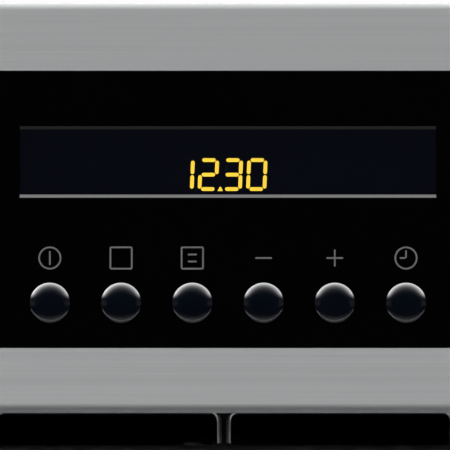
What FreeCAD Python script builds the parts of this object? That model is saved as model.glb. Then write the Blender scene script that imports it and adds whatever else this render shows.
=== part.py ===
import FreeCAD, Part
import math
import os
import re

import Sketcher
from FreeCAD import Placement, Rotation, Vector

# Built-in oven, millimetres. X runs across the front, Y from the front to the back, Z up.
# Y = 0 is the cabinet's front plane, Z = 0 the base, X = 0 the middle of the front.

doc = FreeCAD.newDocument("built_in_oven")
sheet = doc.addObject("Spreadsheet::Sheet", "dims")

SIZES = (
    # front
    ("front_width", 594, "width of panel and door"),
    ("front_height", 594, "height of the whole front"),
    ("front_bottom", 3, "lowest front edge above the base"),
    ("front_depth", 22, "front face before the cabinet plane"),
    ("fascia_height", 112, "height of the control panel"),
    ("vent_gap", 12, "gap between panel and door"),
    ("door_bottom", 25, "lower edge of the door"),
    # chassis
    ("chassis_inset", 19, "walls inside the front's sides"),
    ("chassis_drop", 13, "top cover under the front's top"),
    ("chassis_depth", 546, "depth behind the front"),
    ("sheet_steel", 1, "chassis sheet"),
    ("chassis_lift", 2, "walls start above the base"),
    ("pan_height", 12, "edge of the base pan"),
    ("fold_width", 12, "folded edges of the walls"),
    ("press_depth", 3, "depth of pressed fields"),
    ("press_margin", 80, "margin around pressed fields"),
    ("press_drop", 40, "pressed fields under the deck"),
    ("press_corner", 18, "corner of pressed fields"),
    ("louvre_width", 7, "cooling slots"),
    ("louvre_length", 46, "cooling slots"),
    ("louvre_pitch", 26, "cooling slots"),
    ("top_pitch", 13, "cooling slots of the top cover"),
    ("louvre_rise", 40, "cooling slots above the deck"),
    ("pan_slot", 30, "base pan slots"),
    ("pan_slot_pitch", 46, "base pan slots"),
    ("pan_slot_place", 40, "base pan slots behind the front"),
    ("deck_rise", 27.8, "deck over the cavity's outside"),
    ("deck_front", 20, "front edge of the deck"),
    # front frame
    ("frame_sheet", 1.2, "front frame sheet"),
    ("frame_inset", 1, "flange inside the front's sides"),
    ("frame_low", 4, "lower edge of the flange"),
    ("frame_drop", 1, "flange under the door's top"),
    ("recess_gap", 4, "recess around the door's side profiles"),
    ("recess_low", 16, "lower wall of the recess"),
    ("recess_drop", 6, "upper wall of the recess under the flange"),
    ("recess_depth", 18, "depth of the recess"),
    ("cabinet_hole", 2.5, "radius of the cabinet screw holes"),
    ("cabinet_hole_inset", 8, "screw holes from the flange's sides"),
    ("cabinet_hole_rise", 300, "screw holes, up"),
    ("cabinet_hole_mid", 240, "middle of the screw holes"),
    ("trim_height", 10, "bottom trim"),
    ("trim_depth", 16, "bottom trim"),
    ("trim_slot", 40, "bottom trim slots"),
    ("trim_pitch", 56, "bottom trim slots"),
    ("trim_slot_low", 2.5, "bottom trim slots above the edge"),
    ("trim_slot_height", 4, "bottom trim slots"),
    # cavity
    ("mouth_side", 42, "recess wall beside the mouth"),
    ("mouth_drop", 39, "recess wall over the mouth"),
    ("rear_room", 120.8, "room behind the cavity"),
    ("cavity_floor", 82, "inside floor"),
    ("cavity_sheet", 1.2, "enamelled sheet"),
    ("cavity_corner", 4.5, "bevelled inside corners"),
    ("wool_gap", 0.3, "insulation to cavity"),
    ("wool_thickness", 25, "insulation"),
    ("wool_drop", 8.8, "room under the cavity floor"),
    ("wool_clear", 8, "wool openings around what passes them"),
    ("seal_radius", 2.7, "door seal tube"),
    ("seal_gap", 0.3, "seal to its neighbours"),
    ("seal_margin", 11, "seal outside the mouth"),
    ("seal_corner", 24, "seal bends"),
    # heating and air in the cavity
    ("cover_foot", 18, "fan cover over the floor"),
    ("cover_side", 35, "fan cover from the side walls"),
    ("cover_drop", 9, "fan cover under the lamp"),
    ("cover_depth", 30, "fan cover"),
    ("cover_sheet", 1, "fan cover"),
    ("cover_corner", 22, "fan cover"),
    ("intake_width", 6, "fan cover intake slots"),
    ("intake_inner", 17, "inner ring of slots, inside"),
    ("intake_middle", 38, "inner ring of slots, outside"),
    ("intake_outer_in", 44, "outer ring of slots, inside"),
    ("intake_outer", 70, "outer ring of slots, outside"),
    ("outlet_width", 9, "fan cover outlet slots"),
    ("outlet_length", 34, "fan cover outlet slots"),
    ("outlet_pitch", 48, "fan cover outlet slots"),
    ("fan_radius", 74, "convection fan"),
    ("fan_depth", 17, "convection fan blades"),
    ("fan_sheet", 1.2, "convection fan sheet"),
    ("fan_hub", 10, "convection fan hub radius"),
    ("fan_arm", 16, "convection fan arm width"),
    ("arm_root", 7, "convection fan arm start"),
    ("arm_root_half", 3, "convection fan arm start, half width"),
    ("blade_root", 24, "blade inner radius"),
    ("fan_clear", 5.8, "fan blades behind the cover"),
    ("shaft_radius", 4, "fan shaft"),
    ("shaft_hole", 10, "rear wall hole for the fan shaft"),
    ("running_gap", 0.06, "running fits, on the radius"),
    ("nut_length", 4, "rotor nut"),
    ("nut_half", 6.5, "rotor nut, half width"),
    ("motor_stand", 40.6, "motor bracket behind the cavity"),
    ("motor_plate", 4, "motor bracket"),
    ("motor_width", 64, "motor core"),
    ("motor_height", 56, "motor core"),
    ("motor_depth", 26, "motor core"),
    ("motor_leg", 4, "motor leg radius"),
    ("motor_leg_reach", 40, "motor legs from the axis"),
    ("motor_bracket", 12, "motor bracket, half height"),
    ("coil_half", 19, "motor coil, half width"),
    ("coil_height", 14, "motor coil"),
    ("coil_over", 8, "motor coil past the core"),
    ("motor_cap", 18, "motor bearing cap, half width"),
    ("motor_cap_rise", 8, "motor bearing cap, half height"),
    ("motor_cap_depth", 8, "motor bearing cap"),
    ("shaft_end_gap", 0.5, "shafts in their blind bores"),
    ("tube_radius", 3.25, "heater tubes"),
    ("tube_gap", 0.3, "heater tubes in their holes"),
    ("plate_margin", 4, "heater plates around the tubes"),
    ("ring_radius", 92, "ring element"),
    ("ring_stand", 13.2, "ring element before the rear wall"),
    ("ring_ends", 9, "ring element ends from the middle"),
    ("heater_tail", 14.6, "heater ends behind the cavity"),
    ("grill_drop", 16, "grill tube under the ceiling"),
    ("grill_side", 40, "outer grill pass from the side wall"),
    ("grill_inner", 40, "inner grill pass from the middle"),
    ("grill_front", 70, "front of the grill"),
    ("grill_turn_stand", 89.2, "rear turns of the grill before the rear wall"),
    ("grill_rear_stand", 49.2, "rear pass of the grill before the rear wall"),
    ("grill_ends", 20, "grill ends from the middle"),
    ("strap_half", 1.5, "grill straps, half thickness"),
    ("strap_depth", 20, "grill straps"),
    ("heater_bend", 24, "bend of the heater tubes"),
    ("floor_heater_side", 50, "bottom element from the side wall"),
    ("floor_heater_front", 80, "bottom element"),
    ("floor_heater_stand", 34.2, "bottom element before the rear wall"),
    ("floor_heater_ends", 30, "bottom element ends from the middle"),
    ("floor_heater_tail", 22.6, "bottom element ends behind the cavity"),
    ("lamp_side", 80, "lamp and probe from the side walls"),
    ("lamp_drop", 33, "lamp and probe under the ceiling"),
    ("lamp_width", 62, "lamp glass"),
    ("lamp_height", 46, "lamp glass"),
    ("lamp_reach", 13, "lamp glass into the cavity"),
    ("lamp_bevel", 5, "lamp glass bevel"),
    ("lamp_wall", 3, "lamp glass wall"),
    ("holder_width", 54, "lamp holder"),
    ("holder_height", 38, "lamp holder"),
    ("holder_wall", 2, "lamp holder wall"),
    ("holder_front", 4, "lamp holder before the rear wall"),
    ("holder_flange", 5, "lamp holder flange"),
    ("holder_tail", 26.6, "lamp holder behind the cavity"),
    ("bulb_width", 13, "bulb"),
    ("bulb_length", 24, "bulb glass"),
    ("bulb_height", 6.5, "bulb"),
    ("bulb_bevel", 2.2, "bevelled bulb tip"),
    ("bulb_base", 16, "bulb base"),
    ("bulb_base_depth", 10, "bulb base"),
    ("probe_radius", 3, "temperature probe"),
    ("probe_reach", 58, "temperature probe into the cavity"),
    ("probe_flange", 10, "temperature probe flange"),
    # shelves
    ("rail_wire", 2.2, "shelf rail wire"),
    ("rail_post", 2.5, "shelf rail posts"),
    ("rail_stud", 2, "studs that hang the rails on the wall"),
    ("rail_tail", 16, "posts past the wires"),
    ("stud_inset", 8, "studs from the post ends"),
    ("rail_gap", 1, "posts to the wall"),
    ("rail_inset", 7.8, "rail wires from the wall"),
    ("rail_front", 45, "front of the rails"),
    ("rail_stand", 39.2, "back of the rails before the rear wall"),
    ("rail_post_front", 75, "front post"),
    ("rail_post_stand", 35, "rear post from the back of the rails"),
    ("level_first", 53, "first level above the floor"),
    ("level_drop", 94, "last level under the ceiling"),
    ("level_guard", 16, "upper wire of a level"),
    ("rest_gap", 0.3, "shelf and tray above the rails"),
    ("shelf_wire", 3, "shelf frame wire"),
    ("shelf_rod", 1.8, "shelf rods"),
    ("shelf_side", 11, "shelf frame wire from the side wall"),
    ("shelf_front", 50, "shelf frame front"),
    ("shelf_stand", 44.2, "shelf frame back before the rear wall"),
    ("shelf_bend", 18, "shelf frame bend"),
    ("tray_side", 8, "tray rim from the side wall"),
    ("tray_front", 48, "tray rim front"),
    ("tray_stand", 42.2, "tray rim back before the rear wall"),
    ("tray_wall_inset", 14, "tray wall from the rim edge"),
    ("tray_slope", 9, "slope of the tray wall"),
    ("tray_depth", 31, "tray depth"),
    ("tray_sheet", 1.2, "tray sheet"),
    # blower
    ("blower_x", 33, "blower axis"),
    ("blower_stand", 283, "blower axis before the rear panel"),
    ("blower_radius", 88, "blower housing"),
    ("blower_height", 46, "blower housing"),
    ("blower_inlet", 50, "blower inlet"),
    ("blower_mouth", 110, "blower outlet width"),
    ("blower_spout", 120, "blower outlet plane before its axis"),
    ("wheel_radius", 60, "blower wheel"),
    ("wheel_height", 34, "blower wheel"),
    ("wheel_sheet", 1.4, "blower wheel"),
    ("wheel_lift", 4, "wheel above the housing floor"),
    ("wheel_blade", 13, "blade length"),
    ("wheel_shaft", 3, "blower shaft"),
    ("wheel_hub", 9, "blower hub"),
    ("hub_height", 17, "blower hub"),
    ("sector_root", 4.5, "start of the wheel floor"),
    ("blade_lean", 4.3, "lean of the wheel blades"),
    ("blower_leg_reach", 62, "blower motor legs"),
    ("blower_leg_height", 9, "blower motor legs"),
    ("spoke_sheet", 2, "blower motor spokes"),
    ("blower_motor_radius", 32, "blower motor"),
    ("blower_motor_height", 34, "blower motor"),
    ("blower_can_end", 5, "blower motor end over its bore"),
    ("duct_side", 6, "duct mouth inside the grille's ends"),
    ("duct_sheet", 0.8, "duct sheet"),
    ("duct_clear", 0.5, "duct under the panel"),
    # electrics
    ("board_side", 49, "power board from the side wall"),
    ("board_stand", 65, "power board before the rear panel"),
    ("board_width", 120, "power board"),
    ("board_depth", 150, "power board"),
    ("board_thick", 1.6, "circuit boards"),
    ("board_legs", 6, "power board stand-offs"),
    ("board_inset", 8, "stand-offs from the board edge"),
    ("board_leg", 4, "stand-offs, half width"),
    ("relay_width", 16, "relays"),
    ("relay_pitch", 21, "relays"),
    ("relay_place", 20, "relays from the board edge"),
    ("relay_depth", 28, "relays"),
    ("relay_height", 19, "relays"),
    ("transformer_x", 12, "transformer from the board edge"),
    ("transformer_y", 78, "transformer from the board edge"),
    ("transformer_width", 42, "transformer"),
    ("transformer_depth", 38, "transformer"),
    ("transformer_height", 32, "transformer"),
    ("capacitor_x", 76, "capacitors from the board edge"),
    ("capacitor_y", 96, "capacitors from the board edge"),
    ("capacitor_pitch", 22, "capacitors"),
    ("capacitor_radius", 8, "capacitors"),
    ("capacitor_height", 26, "capacitors"),
    ("inlet_side", 72, "cable inlet from the side wall"),
    ("inlet_drop", 64, "cable inlet under the top cover"),
    ("inlet_bore", 6.5, "cable inlet bore"),
    ("inlet_neck", 10.7, "cable inlet neck"),
    ("inlet_gap", 0.3, "terminal plate in the rear panel's notch"),
    ("inlet_length", 6, "neck behind the panel"),
    ("terminal_width", 62, "terminal block"),
    ("terminal_height", 44, "terminal block"),
    ("terminal_depth", 34, "terminal block"),
    ("inlet_floor", 6, "block left before the inlet bore"),
    ("way_margin", 5, "terminal ways from the edge"),
    ("way_width", 9, "terminal ways"),
    ("way_pitch", 14, "terminal ways"),
    ("way_depth", 5, "terminal ways"),
    ("way_edge", 6, "terminal ways from the upper and lower edge"),
    # control panel
    ("fascia_sheet", 1, "fascia steel"),
    ("fascia_top_edge", 1.8, "rounded upper edge"),
    ("fascia_low_edge", 2.6, "rounded lower edge"),
    ("window_top", 18.5, "steel above the glass"),
    ("window_low", 17.8, "steel under the glass"),
    ("window_side", 18, "steel beside the glass"),
    ("glass_recess", 0.2, "glass behind the steel face"),
    ("glass_gap", 0.2, "glass in its window"),
    ("glass_thickness", 4, "fascia glass"),
    ("display_width", 113.6, "display window"),
    ("display_height", 17.8, "display window"),
    ("display_drop", 43.4, "display middle under the top"),
    ("display_bevel", 0.5, "depth of the bevel over and under the display"),
    ("display_bevel_rise", 0.85, "height of that bevel"),
    ("display_lip", 2, "rear lip of the display lens"),
    ("lip_thickness", 1.5, "rear lip of the display lens"),
    ("lens_gap", 0.1, "lens in its window"),
    ("view_gap", 2, "carrier opening around the lens lip"),
    ("module_gap", 0.3, "display module behind the lens"),
    ("carrier_gap", 2, "carrier inside the fascia"),
    ("carrier_back", 15, "carrier back before the cabinet plane"),
    ("bush_margin", 2, "bush block around the seats"),
    ("bush_length", 7, "button bushes"),
    ("bush_floor", 5, "bush floor"),
    ("button_drop", 81.8, "buttons under the top"),
    ("button_pitch", 19.43, "button spacing"),
    ("button_radius", 5.45, "button cap"),
    ("button_gap", 0.3, "button in the glass"),
    ("button_stand", 0.5, "straight rim before the glass"),
    ("button_dome", 1.8, "dome height"),
    ("button_crown", 1.5, "second bevel of the dome"),
    ("button_flange", 12.6, "square flange"),
    ("flange_gap", 0.4, "flange in its seat"),
    ("flange_thickness", 1, "flange"),
    ("button_stem", 5, "square stem"),
    ("button_travel", 1.5, "button travel"),
    ("switch_size", 6, "tact switch"),
    ("switch_depth", 3, "tact switch body"),
    ("plunger_size", 3.2, "tact switch plunger"),
    ("plunger_height", 0.9, "tact switch plunger"),
    ("panel_board_half", 80, "control board, half width"),
    ("board_low_edge", 22, "control board over the panel's lower edge"),
    ("board_top_edge", 22, "control board under the panel's top"),
    ("panel_notch", 3, "control board notches"),
    ("housing_wall", 2, "rear housing"),
    ("housing_gap", 2, "board to the housing wall"),
    ("boss_inset", 6, "board bosses from the board edge"),
    ("boss_half", 3, "board bosses, half width"),
    ("housing_room", 4.4, "room behind the board"),
    ("bracket_sheet", 1.5, "panel brackets"),
    ("bracket_reach", 60, "panel brackets"),
    ("bracket_fold", 15, "panel brackets"),
    ("bracket_low_edge", 15, "panel brackets over the panel's lower edge"),
    ("bracket_top_edge", 27, "panel brackets under the panel's top"),
    # vent grille
    ("grille_front", 6, "grille face before the cabinet plane"),
    ("grille_back", 14, "grille back"),
    ("grille_inset", 29, "grille inside the front's sides"),
    ("grille_end", 10, "solid ends of the grille"),
    ("slot_rib", 4.2, "grille ribs"),
    ("slot_top", 1.2, "grille wall over the slots"),
    ("slot_height", 8.3, "grille slots"),
    ("slot_corner", 1.9, "grille slot corners"),
    # door
    ("top_rail", 68, "door top rail"),
    ("low_rail", 44, "door bottom rail"),
    ("rail_sheet", 1.2, "door rails"),
    ("rail_edge", 1.8, "rounded rail edges"),
    ("top_rail_depth", 14, "depth of the top rail"),
    ("low_rail_depth", 12, "depth of the bottom rail"),
    ("rail_cut_gap", 0.6, "bottom rail around the hinges"),
    ("door_glass", 4, "door panes"),
    ("pane_gap", 0.5, "outer pane to the rails"),
    ("profile_width", 16, "side profiles"),
    ("profile_inset", 29, "side profiles inside the door's sides"),
    ("profile_low", 40, "side profiles"),
    ("profile_drop", 17, "side profiles and panes under the door's top"),
    ("profile_wall", 2, "side profile walls"),
    ("inner_face", 12, "inner face behind the cabinet plane"),
    ("inner_low", 45, "lower edge of the inner pane"),
    ("middle_front", 6, "middle pane before the cabinet plane"),
    ("middle_low", 50, "lower edge of the middle pane"),
    ("groove_depth", 3, "pane grooves"),
    ("groove_gap", 0.2, "pane in its groove"),
    ("cap_height", 7, "door cap"),
    ("cap_slot", 30, "door cap slots"),
    ("cap_slot_front", 2.5, "door cap slots behind the cabinet plane"),
    ("cap_slot_depth", 5.5, "door cap slots"),
    ("cap_pitch", 44, "door cap slots"),
    ("handle_radius", 8, "handle bar"),
    ("handle_inset", 53, "handle bar inside the door's sides"),
    ("handle_reach", 36, "bar axis before the door"),
    ("post_inset", 39, "handle posts from the bar's ends"),
    ("post_half", 6, "handle posts, half width"),
    # hinges
    ("hinge_setback", 9, "hinge axis before the cabinet plane"),
    ("hinge_height", 31, "hinge axis above the base"),
    ("hinge_inset", 52, "hinges from the door's sides"),
    ("arm_sheet", 4, "hinge arms"),
    ("arm_eye", 6, "hinge arm eye"),
    ("arm_back", 62, "hinge arm length behind the plane"),
    ("arm_notch", 5, "notch of the hinge arm"),
    ("arm_notch_place", 49.5, "notch of the hinge arm"),
    ("arm_side_gap", 0.5, "arm in its bracket"),
    ("cheek_sheet", 3, "bracket cheeks"),
    ("cheek_low", 25.5, "bracket lower edge"),
    ("cheek_lobe", 44, "top of the bracket lobe"),
    ("cheek_high", 150, "bracket upper edge"),
    ("cheek_front", 18, "bracket front before the plane"),
    ("cheek_web", 2, "bracket web"),
    ("cheek_lobe_back", 2, "bracket lobe before the plane"),
    ("cheek_back", 8, "bracket channel before the plane"),
    ("pin_radius", 3, "hinge pins"),
    ("pin_key", 2.4, "square ends of the hinge pins, half width"),
    ("pin_head", 4.2, "hinge pin heads"),
    ("pin_head_height", 1.4, "hinge pin heads"),
    ("receiver_wall", 4, "hinge receivers"),
    ("receiver_gap", 0.5, "arm in its receiver"),
    ("receiver_high", 46, "hinge receivers"),
    ("receiver_back", 66, "rear end of the hinge receivers"),
)
for row, (alias, value, meaning) in enumerate(SIZES, start=1):
    sheet.set(f"A{row}", meaning)
    sheet.set(f"B{row}", str(value))
    sheet.setAlias(f"B{row}", alias)
doc.recompute()

ALIASES = {alias for alias, value, meaning in SIZES}
WORD = re.compile(r"[A-Za-z_][A-Za-z_0-9]*")
SLOT_COUNT = 8
LEVEL_COUNT = 4
SHELF_RODS = 15

# planes that several pieces share, as expressions over the sheet
FRONT_TOP = "(front_bottom + front_height)"
FASCIA_LOW = f"({FRONT_TOP} - fascia_height)"
DOOR_TOP = f"({FASCIA_LOW} - vent_gap)"
FRONT_FACE = "(0 - front_depth)"
HALF_FRONT = "front_width / 2"
WALL_INNER = "(chassis_width / 2 - sheet_steel)"
WALL_TOP = "(chassis_height - sheet_steel)"
REAR_INNER = "(chassis_depth - sheet_steel)"
DECK_TOP = "(deck_height + sheet_steel)"
MOUTH = "(recess_depth + frame_sheet)"
CAVITY_REAR = f"({REAR_INNER} - rear_room)"
CAVITY_REAR_OUT = f"({CAVITY_REAR} + cavity_sheet)"
CAVITY_TOP = "(recess_high - mouth_drop)"
LAMP_HEIGHT = f"({CAVITY_TOP} - lamp_drop)"
RING_END = "(fan_height - sqrt(ring_radius * ring_radius - ring_ends * ring_ends))"
GRILL_HEIGHT = f"({CAVITY_TOP} - grill_drop)"
FLOOR_HEATER = "(cavity_floor - cavity_sheet - tube_gap - tube_radius)"

# sizes that follow from others and a clearance of their own
FOLLOWS = {
    "chassis_width": f"2 * ({HALF_FRONT} - chassis_inset)",
    "chassis_height": f"{FRONT_TOP} - chassis_drop",
    "deck_height": f"{CAVITY_TOP} + cavity_sheet + deck_rise",
    "press_high": "deck_height - press_drop",
    "frame_width": f"2 * ({HALF_FRONT} - frame_inset)",
    "frame_high": f"{DOOR_TOP} - frame_drop",
    "recess_width": "2 * (profile_outer + recess_gap)",
    "recess_high": "frame_high - recess_drop",
    "cabinet_hole_span": "frame_width - 2 * cabinet_hole_inset",
    "cavity_width": "recess_width - 2 * mouth_side",
    "cover_low": "cavity_floor + cover_foot",
    "cover_high": f"{LAMP_HEIGHT} - lamp_height / 2 - cover_drop",
    "cover_width": "cavity_width - 2 * cover_side",
    "cover_height": "cover_high - cover_low",
    "fan_height": "(cover_low + cover_high) / 2",
    "fan_front": f"{CAVITY_REAR} - cover_depth + cover_sheet + fan_clear",
    "shaft_front": "fan_front - nut_length",
    "motor_face": f"{CAVITY_REAR_OUT} + motor_stand",
    "ring_place": f"{CAVITY_REAR} - ring_stand",
    "heater_back": f"{CAVITY_REAR_OUT} + heater_tail",
    "grill_outer": "cavity_width / 2 - grill_side",
    "grill_pitch": "(grill_outer - grill_inner) / 2",
    "grill_turn": f"{CAVITY_REAR} - grill_turn_stand",
    "grill_rear": f"{CAVITY_REAR} - grill_rear_stand",
    "strap_front": "(grill_front + grill_turn - strap_depth) / 2",
    "floor_heater_half": "cavity_width / 2 - floor_heater_side",
    "floor_heater_rear": f"{CAVITY_REAR} - floor_heater_stand",
    "floor_heater_back": f"{CAVITY_REAR_OUT} + floor_heater_tail",
    "lamp_place": "cavity_width / 2 - lamp_side",
    "holder_back": f"{CAVITY_REAR_OUT} + holder_tail",
    "rail_back": f"{CAVITY_REAR} - rail_stand",
    "rail_post_back": "rail_back - rail_post_stand",
    "level_pitch": f"({CAVITY_TOP} - level_drop - cavity_floor - level_first) / {LEVEL_COUNT - 1}",
    "shelf_half": "cavity_width / 2 - shelf_side",
    "shelf_back": f"{CAVITY_REAR} - shelf_stand",
    "shelf_pitch": f"2 * shelf_half / {SHELF_RODS + 1}",
    "tray_rim": "cavity_width / 2 - tray_side",
    "tray_back": f"{CAVITY_REAR} - tray_stand",
    "blower_y": f"{REAR_INNER} - blower_stand",
    "blower_front": "blower_y - blower_spout",
    "duct_half": "grille_half - duct_side",
    "board_x": f"board_side - {WALL_INNER}",
    "board_y": f"{REAR_INNER} - board_stand - board_depth",
    "inlet_x": f"{WALL_INNER} - inlet_side",
    "inlet_z": "chassis_height - inlet_drop",
    "panel_board_low": f"{FASCIA_LOW} + board_low_edge",
    "panel_board_high": f"{FRONT_TOP} - board_top_edge",
    "bracket_low": f"{FASCIA_LOW} + bracket_low_edge",
    "bracket_high": f"{FRONT_TOP} - bracket_top_edge",
    "grille_half": f"{HALF_FRONT} - grille_inset",
    "slot_pitch": f"2 * (grille_half - grille_end) / {SLOT_COUNT}",
    "profile_outer": f"{HALF_FRONT} - profile_inset",
    "profile_inner": "profile_outer - profile_width",
    "profile_high": f"{DOOR_TOP} - profile_drop",
    "handle_half": f"{HALF_FRONT} - handle_inset",
    "post_place": "handle_half - post_inset",
    "hinge_place": f"{HALF_FRONT} - hinge_inset",
}
WINDOW_TOP = f"({FRONT_TOP} - window_top)"
WINDOW_LOW = f"({FASCIA_LOW} + window_low)"
WINDOW_HALF = f"({HALF_FRONT} - window_side)"
GLASS_FRONT = f"({FRONT_FACE} + glass_recess)"
GLASS_BACK = f"({GLASS_FRONT} + glass_thickness)"
DISPLAY_MID = f"({FRONT_TOP} - display_drop)"
BUTTON_MID = f"({FRONT_TOP} - button_drop)"
CARRIER_BACK = "(0 - carrier_back)"
RECEIVER_HALF = "(arm_sheet / 2 + receiver_gap + receiver_wall)"
BUTTON_COUNT = 6
CAP_SIDES = 24
SIDE_LOUVRES = 10
REAR_LOUVRES = 8
TOP_LOUVRES = 11
PAN_SLOTS = 9
TRIM_SLOTS = 9
CAP_SLOTS = 11
RELAYS = 5
TERMINALS = 4
BLOWER_LEGS = 3
FIRST_LEG = 30
OUTLETS = 3
INTAKE_RINGS = (("intake_inner", "intake_middle", 8), ("intake_outer_in", "intake_outer", 12))
SHELF_LEVEL = 2
TRAY_LEVEL = 1
TUBE_SIDES = 6
WIRE_SIDES = 4
BEND_STEPS = 2
FAN_BLADES = 9
WHEEL_BLADES = 16
SCROLL_SIDES = 20
RING_STEPS = 20

SUBPARTS = []


def expression(text):
    """The text with following sizes written out and every sheet alias as a reference to its cell."""

    def written(word):
        name = word.group()
        if name in FOLLOWS:
            return f"({expression(FOLLOWS[name])})"
        return f"dims.{name}" if name in ALIASES else name

    return WORD.sub(written, text)


def number(text):
    """The present value of an expression over the sheet."""
    return float(sheet.evalExpression(expression(text)))


def bind(thing, name, text):
    """Ties one property to an expression over the sheet."""
    thing.setExpression(name, expression(text))


def keep(thing, label):
    """Marks a finished sub-part and gives it the label that names its file."""
    thing.Label = label
    SUBPARTS.append(thing)
    return thing


def move(thing, x="0", y="0", z="0"):
    """Ties a thing's place to the sheet."""
    for axis, text in zip("xyz", (x, y, z)):
        bind(thing, f".Placement.Base.{axis}", text)


def block(name, x, y, z):
    """A block between two planes on each axis, each pair low and high."""
    made = doc.addObject("Part::Box", name)
    for side, (low, high) in zip(("Length", "Width", "Height"), (x, y, z)):
        bind(made, side, f"({high}) - ({low})")
    move(made, x[0], y[0], z[0])
    return made


TURNS = {"x": Rotation(Vector(0, 1, 0), 90), "y": Rotation(Vector(1, 0, 0), -90), "z": Rotation()}


def rod(name, axis, radius, low, high, across):
    """A round bar along an axis from low to high; across holds its other two places in order."""
    made = doc.addObject("Part::Cylinder", name)
    made.Placement = Placement(Vector(), TURNS[axis])
    bind(made, "Radius", radius)
    bind(made, "Height", f"({high}) - ({low})")
    places = dict(zip([a for a in "xyz" if a != axis], across))
    places[axis] = low
    move(made, places["x"], places["y"], places["z"])
    return made


def bar(name, axis, radius, low, high, across, sides=WIRE_SIDES):
    """A thin wire along an axis as a many-sided bar; radius reaches its flats."""
    made = doc.addObject("Part::Prism", name)
    made.Polygon = sides
    made.Placement = Placement(Vector(), TURNS[axis].multiply(Rotation(Vector(0, 0, 1), 180 / sides)))
    bind(made, "Circumradius", f"({radius}) / cos({180 / sides} deg)")
    bind(made, "Height", f"({high}) - ({low})")
    places = dict(zip([a for a in "xyz" if a != axis], across))
    places[axis] = low
    move(made, places["x"], places["y"], places["z"])
    return made


def both(low_high):
    """A pair of planes the same way out on both sides of the middle."""
    return (f"0 - ({low_high})", low_high)


def fuse(name, pieces):
    """One solid from touching pieces."""
    made = doc.addObject("Part::MultiFuse", name)
    made.Shapes = pieces
    made.Refine = True
    return made


def group(name, pieces):
    """Separate solids held as one sub-part."""
    made = doc.addObject("Part::Compound", name)
    made.Links = pieces
    return made


def cut(name, base, tools):
    """The base with the tools taken away."""
    made = doc.addObject("Part::Cut", name)
    made.Base = base
    made.Tool = tools[0] if len(tools) == 1 else group(f"{name}_tools", tools)
    return made


def mirrored(name, source):
    """The same piece on the other side of the middle plane."""
    made = doc.addObject("Part::Mirroring", name)
    made.Source = source
    made.Normal = Vector(1, 0, 0)
    return made


def straight_along(axis):
    """A test for straight edges that run along an axis."""
    way = {"x": Vector(1, 0, 0), "y": Vector(0, 1, 0), "z": Vector(0, 0, 1)}[axis]

    def test(edge):
        straight = edge.Curve.TypeId == "Part::GeomLine"
        return straight and abs(edge.tangentAt(edge.FirstParameter).dot(way)) > 0.999

    return test


def lies_on(axis, text):
    """A test for edges that lie in a plane across an axis."""
    place = number(text)

    def test(edge):
        box = edge.BoundBox
        low, high = {"x": (box.XMin, box.XMax), "y": (box.YMin, box.YMax), "z": (box.ZMin, box.ZMax)}[axis]
        return abs(low - place) < 0.01 and abs(high - place) < 0.01

    return test


def rounded(name, base, radius, test):
    """The base with the edges that pass a test rounded off."""
    doc.recompute()
    made = doc.addObject("Part::Fillet", name)
    made.Base = base
    size = number(radius)
    made.Edges = [(index, size, size) for index, edge in enumerate(base.Shape.Edges, 1) if test(edge)]
    return made


def bevelled(name, base, size, test):
    """The base with the edges that pass a test bevelled."""
    doc.recompute()
    made = doc.addObject("Part::Chamfer", name)
    made.Base = base
    leg = number(size)
    made.Edges = [(index, leg, leg) for index, edge in enumerate(base.Shape.Edges, 1) if test(edge)]
    return made


def rounded_block(name, axis, radius, x, y, z):
    """A block whose four edges along an axis are rounded."""
    return rounded(name, block(f"{name}_blank", x, y, z), radius, straight_along(axis))


def bevelled_block(name, axis, size, x, y, z):
    """A block whose four edges along an axis are bevelled."""
    return bevelled(name, block(f"{name}_blank", x, y, z), size, straight_along(axis))


def bent_path(points, bend, closed):
    """Corners of a run of straight stretches whose corners are turned in equal steps."""
    size = number(bend)
    corners = [Vector(*[number(text) for text in point]) for point in points]
    count = len(corners)
    stops = []
    for index, corner in enumerate(corners):
        if not closed and index in (0, count - 1):
            stops.append(corner)
            continue
        back = (corners[index - 1] - corner).normalize()
        ahead = (corners[(index + 1) % count] - corner).normalize()
        half_angle = back.getAngle(ahead) / 2
        middle = corner + (back + ahead).normalize() * (size / math.sin(half_angle))
        start = corner + back * (size / math.tan(half_angle)) - middle
        turn_axis = back.cross(ahead) * -1
        for step in range(BEND_STEPS + 1):
            turn = Rotation(turn_axis, math.degrees(math.pi - 2 * half_angle) * step / BEND_STEPS)
            stops.append(middle + turn.multVec(start))
    return stops


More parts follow.
